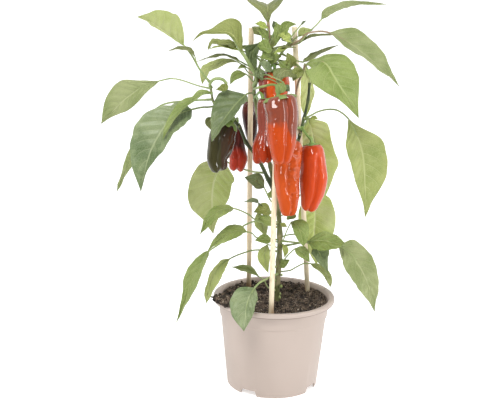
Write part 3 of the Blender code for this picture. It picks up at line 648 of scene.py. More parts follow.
class Tone(Enum):
    """Which green a leaf has; some tones also carry painted light."""

    # Pale yellow-green: partly the paler green of leaves seen from below, partly painted glow of light
    # shining through them
    PALE = LeafFinish("leaf_pale", (0.365, 0.405, 0.15), (0.285, 0.34, 0.083), (0.48, 0.5, 0.27),
                      (0.45, 0.47, 0.22))
    # Greens made lighter than the leaves' own, to paint the glow of light shining through them from behind
    BACKLIT_GLOW = LeafFinish("leaf_painted_backlight", (0.55, 0.61, 0.26), (0.44, 0.53, 0.14), (0.68, 0.72, 0.38),
                        (0.57, 0.62, 0.3))
    FRESH = LeafFinish("leaf_fresh", (0.3, 0.335, 0.1), (0.2, 0.25, 0.052), (0.43, 0.46, 0.2),
                       (0.38, 0.41, 0.16))
    MID = LeafFinish("leaf_mid", (0.265, 0.3, 0.125), (0.175, 0.22, 0.065), (0.4, 0.43, 0.22),
                     (0.35, 0.38, 0.19))
    LUSH = LeafFinish("leaf_lush", (0.22, 0.28, 0.075), (0.15, 0.21, 0.035), (0.38, 0.43, 0.17),
                      (0.3, 0.35, 0.14))
    DARK = LeafFinish("leaf_dark", (0.14, 0.18, 0.072), (0.08, 0.12, 0.038), (0.28, 0.33, 0.15),
                      (0.25, 0.3, 0.13), 0.38)
    # Greyish green between strong dark patches: partly the leaf's own green, partly painted grey sheen
    SAGE = LeafFinish("leaf_sage_painted_sheen", (0.22, 0.27, 0.13), (0.085, 0.135, 0.042), (0.38, 0.43, 0.24),
                      (0.34, 0.36, 0.22), 0.36, 1.9)
    OLIVE = LeafFinish("leaf_olive", (0.17, 0.19, 0.06), (0.11, 0.135, 0.033), (0.37, 0.39, 0.17),
                       (0.32, 0.34, 0.14))
    MOSS = LeafFinish("leaf_moss", (0.21, 0.24, 0.062), (0.155, 0.185, 0.03), (0.42, 0.45, 0.16),
                      (0.35, 0.38, 0.13))
    YOUNG = LeafFinish("leaf_young", (0.38, 0.43, 0.12), (0.28, 0.36, 0.06), (0.5, 0.54, 0.2),
                       (0.42, 0.46, 0.17))


PALE, BACKLIT_GLOW, FRESH, MID, LUSH, DARK, SAGE, OLIVE, MOSS, YOUNG = Tone


# The pot


@dataclass
class Pot:
    """The round nursery pot: tapered wall, stacking collar, hollow rim, raised floor, foot notches."""

    height: float = 106.5
    rim_radius: float = 70.0
    rim_mouth: float = 65.2
    lip_height: float = 5.5
    lip_wall: float = 1.4
    collar_top_radius: float = 63.4
    collar_foot_radius: float = 62.2
    collar_foot: float = 84.0
    wall_top_radius: float = 60.9
    base_radius: float = 52.4
    wall: float = 1.5
    floor: float = 1.8
    dish_radius: float = 31.0
    dish_rise: float = 7.5
    sides: int = 144
    notch_count: int = 4
    notch_height: float = 6.5
    notch_foot_width: float = 22.0
    notch_head_width: float = 17.0
    notch_span: Pair = (-8.0, 6.0)  # how far inside and outside the foot's edge it cuts
    first_notch: float = math.radians(-30.0)
    drain_radius: float = 4.0
    drain_circle: float = 41.0
    finish: PotFinish = field(default_factory=PotFinish)

    def wall_radius(self, height: float) -> float:
        """Give the outer radius of the tapered wall below the collar."""
        return self.base_radius + (self.wall_top_radius - self.base_radius) * height / self.collar_foot

    def outline(self) -> list[Pair]:
        """Give the pot's section, from under its middle, up the outside and down the inside."""
        top, lip = self.height, self.height - self.lip_height
        rim, mouth, thin, wall = self.rim_radius, self.rim_mouth, self.lip_wall, self.wall
        collar, collar_low, foot = self.collar_top_radius, self.collar_foot_radius, self.collar_foot
        wall_top, base, dish = self.wall_top_radius, self.base_radius, self.dish_radius
        rise, floor = self.dish_rise, self.floor
        inner_floor = rise + floor
        return [
            (0.4, 0.0), (dish, 0.0), (dish + 0.6, rise), (base - 2.0, rise), (base - 1.8, 0.0),
            (base - 0.6, 0.0), (base, 0.8), (self.wall_radius(foot / 2), foot / 2), (wall_top, foot),
            (collar_low, foot + 0.8), (collar, top - 6.0), (mouth + 0.4, top - thin),
            (rim - thin, top - thin), (rim - thin, lip), (rim - 0.6, lip), (rim - 0.1, lip + 0.9),
            (rim, top - 1.9), (rim - 0.5, top - 0.7), (rim - 1.7, top), (mouth + 0.6, top - 0.1),
            (mouth - 0.6, top - 0.7), (mouth - 1.6, top - 2.2), (collar - wall, top - 6.0),
            (collar_low - wall, foot + 1.2), (wall_top - wall, foot - 0.6),
            (self.wall_radius(inner_floor) - wall, inner_floor), (dish - 0.9, inner_floor),
            (dish - 1.7, floor), (0.4, floor),
        ]

    def notch_cutter(self, turn: float) -> Piece:
        """Make the wedge that cuts one foot notch."""
        deselect_all()
        bpy.ops.mesh.primitive_cube_add(size=2.0)
        cutter = started("notch_cutter")
        across = Vector((math.cos(turn), math.sin(turn), 0.0))
        out = Vector((math.sin(turn), -math.cos(turn), 0.0))
        for vertex in cutter.data.vertices:
            x, y, z = vertex.co
            half = (self.notch_head_width if z > 0 else self.notch_foot_width) / 2
            reach = self.base_radius + self.notch_span[y > 0]
            level = self.notch_height if z > 0 else -1.0
            vertex.co = (across * half * x + out * reach + Vector((0.0, 0.0, level))) * MM
        turn_outwards(cutter)
        return cutter

    def drain_cutter(self, turn: float) -> Piece:
        """Make the cylinder that cuts one drain hole."""
        deselect_all()
        spot = Vector((math.sin(turn), -math.cos(turn), 0.0)) * self.drain_circle
        spot.z = self.dish_rise + self.floor / 2
        bpy.ops.mesh.primitive_cylinder_add(vertices=32, radius=self.drain_radius * MM, depth=0.006,
                                            location=spot * MM)
        cutter = started("drain_cutter")
        bpy.ops.object.transform_apply()
        return cutter

    def build(self) -> None:
        """Build the pot and hand it over."""
        pot = turned_body("pot_moulded", self.outline(), self.sides)
        turns = [self.first_notch + math.tau * i / self.notch_count for i in range(self.notch_count)]
        cut_away(pot, [self.notch_cutter(turn) for turn in turns])
        cut_away(pot, [self.drain_cutter(turn) for turn in turns])
        apply_modifier(pot, "BEVEL", width=0.35 * MM, segments=2, limit_method="ANGLE",
                       angle_limit=math.radians(28.0), use_clamp_overlap=True)
        put_finish(pot, self.finish.material())
        smooth_faces(pot, 32.0)
        settle(pot, "pot_plastic", "pot")


# The soil


@dataclass
class Soil:
    """Peaty soil: a bumpy bed, loose crumbs, pale bits and straws, and a heap spilled on the rim."""

    pot: Pot
    level: float = 98.6
    play: float = 0.4  # gap to the pot's wall
    # Each bump's height, its size and its layer of the noise
    bumps: tuple[Place, ...] = ((2.8, 9.0, 98.6), (1.3, 3.6, 3.0), (0.6, 1.5, 9.0))
    edge_rise: Pair = (2.4, 1.2)  # how far the edge rises, and how much that varies
    edge_band: Pair = (44.0, 60.0)  # distances from the middle where it rises
    back_rise: float = 2.6  # how much higher the soil lies at the back
    back_band: Pair = (5.0, 60.0)  # distances behind the middle where it rises
    rings: int = 34
    sides: int = 120
    heap_turn: float = math.radians(-62.0)
    heap_circle: float = 64.5
    heap_size: Place = (19.0, 9.2, 6.9)
    heap_height: float = 104.5
    crumb_count: int = 1900
    crumb_sizes: Place = (0.5, 2.3, 2.6)  # the smallest radius, what the largest adds, how rare it is
    bit_count: int = 420
    bit_sizes: Place = (0.25, 0.55, 2.0)
    straw_count: int = 130
    seed: int = 7

    def surface(self, x: float, y: float) -> float:
        """Give the height of the soil's top at a place."""
        top = self.level
        for height, size, layer in self.bumps:
            top += height * noise.noise(Vector((x, y, layer)) / size)
        rise, play = self.edge_rise
        edge = rise + play * noise.noise(Vector((x, y, 5.0)) / 9.0)
        edge *= eased(math.hypot(x, y), *self.edge_band)
        return top + (edge + self.back_rise * eased(y - 0.35 * x, *self.back_band))

    def bed(self) -> Piece:
        """Make the soil's body."""
        pot, play = self.pot, self.play
        floor = pot.dish_rise + pot.floor
        edge = pot.collar_top_radius - pot.wall - play
        outline = [
            (0.4, pot.floor + 0.3), (pot.dish_radius - 2.1, pot.floor + 0.3),
            (pot.dish_radius - 1.3, floor + 0.3), (pot.wall_radius(floor) - pot.wall - play, floor + 0.3),
            (pot.wall_top_radius - pot.wall - play, pot.collar_foot - 0.6),
            (edge - 0.9, pot.collar_foot + 3.0), (edge - 0.2, self.level - 0.4),
        ]
        outline += [((edge - 0.6) * (1 - i / self.rings) + 0.4, self.level) for i in range(self.rings + 1)]
        bed = turned_body("soil_bed", outline, self.sides)
        for vertex in bed.data.vertices:
            if vertex.co.z > (self.level - 1.0) * MM:
                x, y = vertex.co.x / MM, vertex.co.y / MM
                vertex.co.z = self.surface(x, y) * MM
        return bed

    def heap_ways(self) -> tuple[Vector, Vector]:
        """Give the directions outwards through the heap and along the rim."""
        out = Vector((math.sin(self.heap_turn), -math.cos(self.heap_turn), 0.0))
        return out, Vector((-out.y, out.x, 0.0))

    def heap(self) -> Piece:
        """Make the heap that spilled over the rim."""
        deselect_all()
        bpy.ops.mesh.primitive_ico_sphere_add(subdivisions=5, radius=1.0)
        heap = started("soil_heap")
        out, across = self.heap_ways()
        rest = self.pot.height + 0.2
        for vertex in heap.data.vertices:
            rough = 1.0 + 0.25 * noise.noise(vertex.co * 2.3) + 0.16 * noise.noise(vertex.co * 7.0)
            along, outward, up = (size * part * rough for size, part in zip(self.heap_size, vertex.co))
            reach = self.heap_circle + outward
            height = self.heap_height + up
            if reach > self.pot.rim_mouth - 1.5:
                height = max(height, rest)
            vertex.co = (out * reach + across * along + Vector((0.0, 0.0, height))) * MM
        return heap

    def spots(self, count: int, draw: random.Random) -> list[Vector]:
        """Draw places on the soil's top and on its heap."""
        out, across = self.heap_ways()
        places = []
        for i in range(count):
            if i % 9 == 0:
                along, outward = draw.uniform(-1.0, 1.0), draw.uniform(-1.0, 0.75)
                height = math.sqrt(max(0.0, 1.0 - along ** 2 - outward ** 2))
                length, width, rise = self.heap_size
                spot = out * (self.heap_circle + outward * width) + across * along * length
                spot.z = max(self.heap_height + height * rise, self.pot.height + 0.4)
            else:
                reach, turn = 60.0 * math.sqrt(draw.random()), draw.uniform(0.0, math.tau)
                spot = Vector((reach * math.cos(turn), reach * math.sin(turn), 0.0))
                spot.z = self.surface(spot.x, spot.y)
            places.append(spot)
        return places

    def crumbs(self) -> Piece:
        """Make the loose crumbs."""
        draw = random.Random(self.seed)
        deselect_all()
        bpy.ops.mesh.primitive_ico_sphere_add(subdivisions=1, radius=MM)
        crumb = started("crumb")
        for vertex in crumb.data.vertices:
            vertex.co *= 1.0 + 0.5 * noise.noise(vertex.co / MM * 1.7)
        places = []
        for spot in self.spots(self.crumb_count, draw):
            size = drawn_size(draw, self.crumb_sizes)
            turn = any_turn(draw)
            lift = Vector((0.0, 0.0, size * draw.uniform(-0.1, 0.6)))
            places.append(placed(spot + lift, turn, Vector((1.0, 0.8, 0.65)) * size))
        return scattered(crumb, places, "soil_crumbs")

    def bits(self) -> Piece:
        """Make the small pale bits of wood and lime."""
        draw = random.Random(self.seed + 1)
        deselect_all()
        bpy.ops.mesh.primitive_ico_sphere_add(subdivisions=1, radius=MM)
        bit = started("bit")
        places = []
        for spot in self.spots(self.bit_count, draw):
            size = drawn_size(draw, self.bit_sizes)
            turn = any_turn(draw)
            places.append(placed(spot + Vector((0.0, 0.0, 0.7)), turn, Vector((1.6, 1.0, 0.6)) * size))
        return scattered(bit, places, "soil_bits")

    def straws(self) -> Piece:
        """Make the pale straws and root ends that lie on the soil."""
        draw = random.Random(self.seed + 2)
        path = [Vector((x, 0.6 * math.sin(x * 0.5), 0.3 * math.cos(x * 0.8))) for x in range(-4, 5)]
        straw = swept_bar("straw", stations_on(path, 0, Vector((0, 0, 1))), 5, lambda share, turn: 0.17)
        places = []
        for spot in self.spots(self.straw_count, draw):
            turn = Euler((0.0, draw.uniform(-0.25, 0.25), draw.uniform(0.0, math.tau)))
            size = draw.uniform(0.35, 1.0)
            places.append(placed(spot + Vector((0.0, 0.0, 1.0)), turn, Vector((size, 1.0, 1.0))))
        return scattered(straw, places, "soil_straws")

    def build(self) -> None:
        """Build the soil and hand it over."""
        peat = SoilFinish("peat", (0.17, 0.12, 0.088), (0.022, 0.015, 0.011)).material()
        crumb = SoilFinish("peat_crumb", (0.24, 0.175, 0.125), (0.024, 0.017, 0.012)).material()
        bit = SoilFinish("pale_bit", (0.78, 0.70, 0.56), (0.42, 0.34, 0.24)).material()
        straw = SoilFinish("straw", (0.42, 0.33, 0.22), (0.25, 0.18, 0.11)).material()
        body = join([self.bed(), self.heap()], "soil_bed")
        put_finish(body, peat)
        smooth_faces(body, 60.0)
        settle(body, "soil", "soil")
        for piece, finish in ((self.crumbs(), crumb), (self.bits(), bit), (self.straws(), straw)):
            put_finish(piece, finish)
            settle(piece, "soil")


# The canes


@dataclass(frozen=True)
class Cane:
    """One cane: where it enters the soil, its top, how far it reaches under the soil, its finish."""

    node: str
    foot: Place
    top: Place
    depth: float
    finish: BambooFinish


CREAM = BambooFinish("bamboo_cream", (0.80, 0.70, 0.51), (0.56, 0.41, 0.23))
TAN = BambooFinish("bamboo_tan", (0.70, 0.58, 0.41), (0.47, 0.34, 0.19))


@dataclass
class Canes:
    """The thin bamboo canes that hold the plant up."""

    radius: float = 3.0
    sides: int = 20
    steps: int = 60
    knot_gap: float = 118.0
    knot_rise: float = 0.22
    knot_half: float = 1.6  # half the length of a knot's ring
    slimmer: float = 0.12  # how much thinner a cane is between its knots
    unevenness: float = 0.10
    canes: tuple[Cane, ...] = (
        Cane("cane_left", (-30.2, 38.8, 99.0), (-33.0, 14.0, 409.5), 35.0, TAN),
        Cane("cane_right", (40.0, 34.5, 99.0), (14.5, 10.0, 412.0), 20.0, CREAM),
        Cane("cane_front", (-2.4, -47.0, 99.0), (-2.6, -12.0, 314.0), 28.0, CREAM),
    )

    def cane(self, cane: Cane, phase: float) -> Piece:
        """Make one cane.

        Args:
            cane: Its ends.
            phase: Where along it the first knot comes, as a share of the gap between knots.

        Returns:
            The cane.
        """
        foot, top = Vector(cane.foot), Vector(cane.top)
        foot -= (top - foot).normalized() * cane.depth
        length = (top - foot).length
        path = [foot.lerp(top, i / self.steps) for i in range(self.steps + 1)]

        def radius(share: float, turn: float) -> float:
            """Give the radius, with a slight ring at each knot."""
            from_knot = ((share * length / self.knot_gap + phase) % 1.0) * self.knot_gap
            nearest = min(from_knot, self.knot_gap - from_knot)
            ring = self.knot_rise * math.exp(-(nearest / self.knot_half) ** 2)
            spot = Vector((math.cos(turn), math.sin(turn), share * 9.0 + phase * 20))
            return self.radius - self.slimmer + ring + self.unevenness * noise.noise(spot)

        return swept_bar(f"{cane.node}_split", stations_on(path, 0, Vector((0, 1, 0))), self.sides, radius)

    def build(self) -> None:
        """Build the canes and hand them over."""
        materials = {finish.name: finish.material() for finish in (CREAM, TAN)}
        for i, cane in enumerate(self.canes):
            piece = self.cane(cane, 0.17 + 0.29 * i)
            put_finish(piece, materials[cane.finish.name])
            settle(piece, "bamboo", cane.node)


# The stem


@dataclass(frozen=True)
class Branch:
    """A length of stem: the places it grows through, its radius at both ends and its skin."""

    points: tuple[Place, ...]
    foot_radius: float
    tip_radius: float
    skin: StalkFinish


GREEN_SKIN = StalkFinish("stem_green", (0.15, 0.19, 0.065), (0.24, 0.26, 0.12))
DARK_SKIN = StalkFinish("stem_dark", (0.035, 0.055, 0.020), (0.08, 0.12, 0.035))
WOODY_SKIN = StalkFinish("stem_woody", (0.12, 0.13, 0.04), (0.28, 0.25, 0.12), 0.6)
RED_SKIN = StalkFinish("stem_reddish", (0.22, 0.17, 0.09), (0.30, 0.20, 0.13))
BRANCHES = {
    "main": Branch(((3, 3, 70), (3, 3, 99), (5, 1, 146), (5, 0, 178), (2, 0, 213), (-3, 0, 232)),
                   3.6, 2.4, WOODY_SKIN),
    "left": Branch(((-1.5, -0.4, 225), (-10, -1, 243), (-22, -4, 267), (-35, -8, 285), (-43, -12, 303),
                    (-56, -16, 319)), 2.3, 1.7, DARK_SKIN),
    "left_tip": Branch(((-54, -15.5, 317), (-70, -20, 329), (-74, -22, 344), (-76, -22, 355)), 1.6, 0.9,
                       GREEN_SKIN),
    "right": Branch(((0.4, 0.3, 217), (5, 3, 240), (10, 6, 255), (20, 6, 278), (24, 3, 293), (28, 2, 312),
                     (32, 2, 333), (33, 2, 352)), 2.2, 1.4, DARK_SKIN),
    "middle": Branch(((-1.8, 0.6, 221), (-8, 6, 257), (-18, 9, 288), (-24, 7, 318), (-28, 3, 340),
                      (-26, 2, 358), (-20, 2, 375), (-13, 3, 392)), 2.3, 1.3, GREEN_SKIN),
    "upper": Branch(((-26, 3, 352), (-14, 5, 364), (-4, 7, 376), (7, 5, 392), (12, 3, 400)),
                    1.6, 1.1, GREEN_SKIN),
}
BRANCH_STEPS = 2  # lengths between two points of a branch where stalks are rooted


def on_branch(name: str, height: float) -> Vector:
    """Give the middle of a branch at a height.

    Args:
        name: The branch.
        height: The height in mm.

    Returns:
        The place.
    """
    points = BRANCHES[name].points
    path = smooth_path(points, (len(points) - 1) * BRANCH_STEPS)
    index = min(range(len(path) - 1), key=lambda i: abs((path[i].z + path[i + 1].z) / 2 - height))
    share = (height - path[index].z) / (path[index + 1].z - path[index].z)
    return path[index].lerp(path[index + 1], clamped(share))


@dataclass
class Stem:
    """The branching stem, with its knobbly foot and buds."""

    sides: int = 18
    steps_each: int = 9
    ridge: float = 0.09
    knuckle: float = 0.28  # how much thicker a branch is at its knuckles
    knuckle_half: float = 0.13  # half a knuckle's length, as a share of the way to the next
    lumpiness: float = 0.10
    bud_taper: float = 0.35  # how much slimmer a bud is at its tip
    bud_stretch: float = 1.25
    buds: tuple[tuple[Place, float], ...] = (
        ((6.8, 0.5, 103), 1.7), ((7.2, -2.0, 108), 1.4), ((0.6, -1.6, 112), 1.5), ((8.0, -1.5, 117), 1.8),
        ((1.0, -2.8, 124), 1.2), ((8.4, -2.4, 131), 1.3), ((1.4, -3.6, 141), 1.3), ((8.6, -2.0, 149), 1.2),
        ((-43.5, -14.5, 304), 1.1), ((-70.5, -22.5, 331), 1.2), ((24.5, 0.6, 294), 1.1),
        ((-27.6, 0.4, 341), 1.4), ((-3.0, -2.6, 231), 1.6), ((28.5, -0.5, 313), 1.1),
    )

    def branch(self, name: str, branch: Branch) -> Piece:
        """Make one branch, ridged along it and thicker where something grows from it."""
        spans = len(branch.points) - 1
        steps = spans * self.steps_each
        path = smooth_path(branch.points, steps)

        def radius(share: float, turn: float) -> float:
            """Give the radius at a place on the skin."""
            taper = branch.foot_radius + (branch.tip_radius - branch.foot_radius) * share
            from_node = abs(share * spans - round(share * spans))
            knuckle = self.knuckle * math.exp(-(from_node / self.knuckle_half) ** 2)
            ridged = self.ridge * math.cos(5 * turn)
            spot = Vector((math.cos(turn) * 2, math.sin(turn) * 2, share * spans * 3))
            return taper * (1.0 + knuckle + ridged + self.lumpiness * noise.noise(spot))

        bar = swept_bar(f"branch_{name}", stations_on(path, 0, Vector((0, 1, 0.1))), self.sides, radius)
        put_finish(bar, branch.skin.material())
        return bar

    def bud(self, spot: Place, size: float, material: Material) -> Piece:
        """Make one small pointed bud."""
        deselect_all()
        bpy.ops.mesh.primitive_uv_sphere_add(segments=12, ring_count=8, radius=size * MM)
        bud = started("bud")
        for vertex in bud.data.vertices:
            rise = vertex.co.z / (size * MM)
            slim = 1.0 - self.bud_taper * max(rise, 0.0)
            vertex.co.x *= slim
            vertex.co.y *= slim
            vertex.co.z *= self.bud_stretch
            vertex.co += Vector(spot) * MM
        put_finish(bud, material)
        smooth_faces(bud, 80.0)
        return bud

    def build(self) -> None:
        """Build the stem and hand it over."""
        parts = [self.branch(name, branch) for name, branch in BRANCHES.items()]
        bud_skin = StalkFinish("bud_green", (0.29, 0.34, 0.12), (0.21, 0.27, 0.08)).material()
        parts += [self.bud(spot, size, bud_skin) for spot, size in self.buds]
        settle(join(parts, "stem_branches"), "stem", "stem")


# Leaves


@dataclass(frozen=True)
class Leaf:
    """A leaf: where its stalk grows from, its midrib, and how its blade lies. Angles are in degrees.

    The half widths are those at seven even steps from the blade's base to its tip. Left and right are
    as seen on the upper face with the tip pointing away.
    """

    node: str
    root: tuple[str, float] | Place  # branch and height on it, or a place on another stalk
    stalk: tuple[Place, ...]
    rib: tuple[Place, ...]  # the midrib, from the blade's base to its tip
    left: tuple[float, ...]
    right: tuple[float, ...]
    facing: Place  # the way the upper face looks
    fold: Pair = (12.0, 12.0)  # how far the left and right halves are raised
    tone: Tone = MID
    wave: float = 0.9  # height of the edge's waves
    stalk_size: float = 1.0
    small: bool = False
    reddish: bool = False  # whether its stalk is reddish brown


FRONTAL, UPWARD, LEFTWARD = (0.0, -0.8, 0.6), (0.0, -0.35, 0.95), (-0.4, -0.8, 0.4)
COMMON_SHAPE = (0.45, 0.80, 0.98, 1.0, 0.86, 0.60, 0.30)  # a small leaf's half widths
SMALL_WIDENING = 1.15  # by which a small leaf's stated half width is raised
PALE_LEAVES = ("leaf_high_left", "leaf_far_left", "leaf_left_behind", "leaf_left_pale", "leaf_right_long",
               "leaf_behind_fruit", "leaf_right_pale", "leaf_behind_right_cane", "leaf_top_pale")
DARK_LEAVES = ("leaf_left_broad", "leaf_mid_left", "leaf_low_right_dark", "leaf_top_dark",
               "leaf_over_green_fruit")


def leaf_slot(node: str) -> str:
    """Give the record's slot for a leaf."""
    if node in PALE_LEAVES:
        return "leaf_pale"
    return "leaf_dark" if node in DARK_LEAVES else "leaf"


def small_leaf(root: tuple[str, float] | Place, rib: tuple[Place, ...], half_width: float,
               tone: Tone = LUSH, facing: Place = FRONTAL, stalk: tuple[Place, ...] = (),
               stalk_size: float = 0.8) -> Leaf:
    """Describe one of the small leaves, which all have the same shape.

    Args:
        root: Where its stalk grows from.
        rib: Its midrib.
        half_width: Its half width at the widest place.
        tone: Its green.
        facing: The way its upper face looks.
        stalk: The places that the stalk passes.
        stalk_size: How thick its stalk is, as a share of a common leaf's.

    Returns:
        The leaf.
    """
    full = half_width * SMALL_WIDENING
    half = tuple(full * part for part in COMMON_SHAPE)
    return Leaf("", root, stalk, rib, half, half, facing, (14.0, 14.0), tone, 0.35, stalk_size, True)


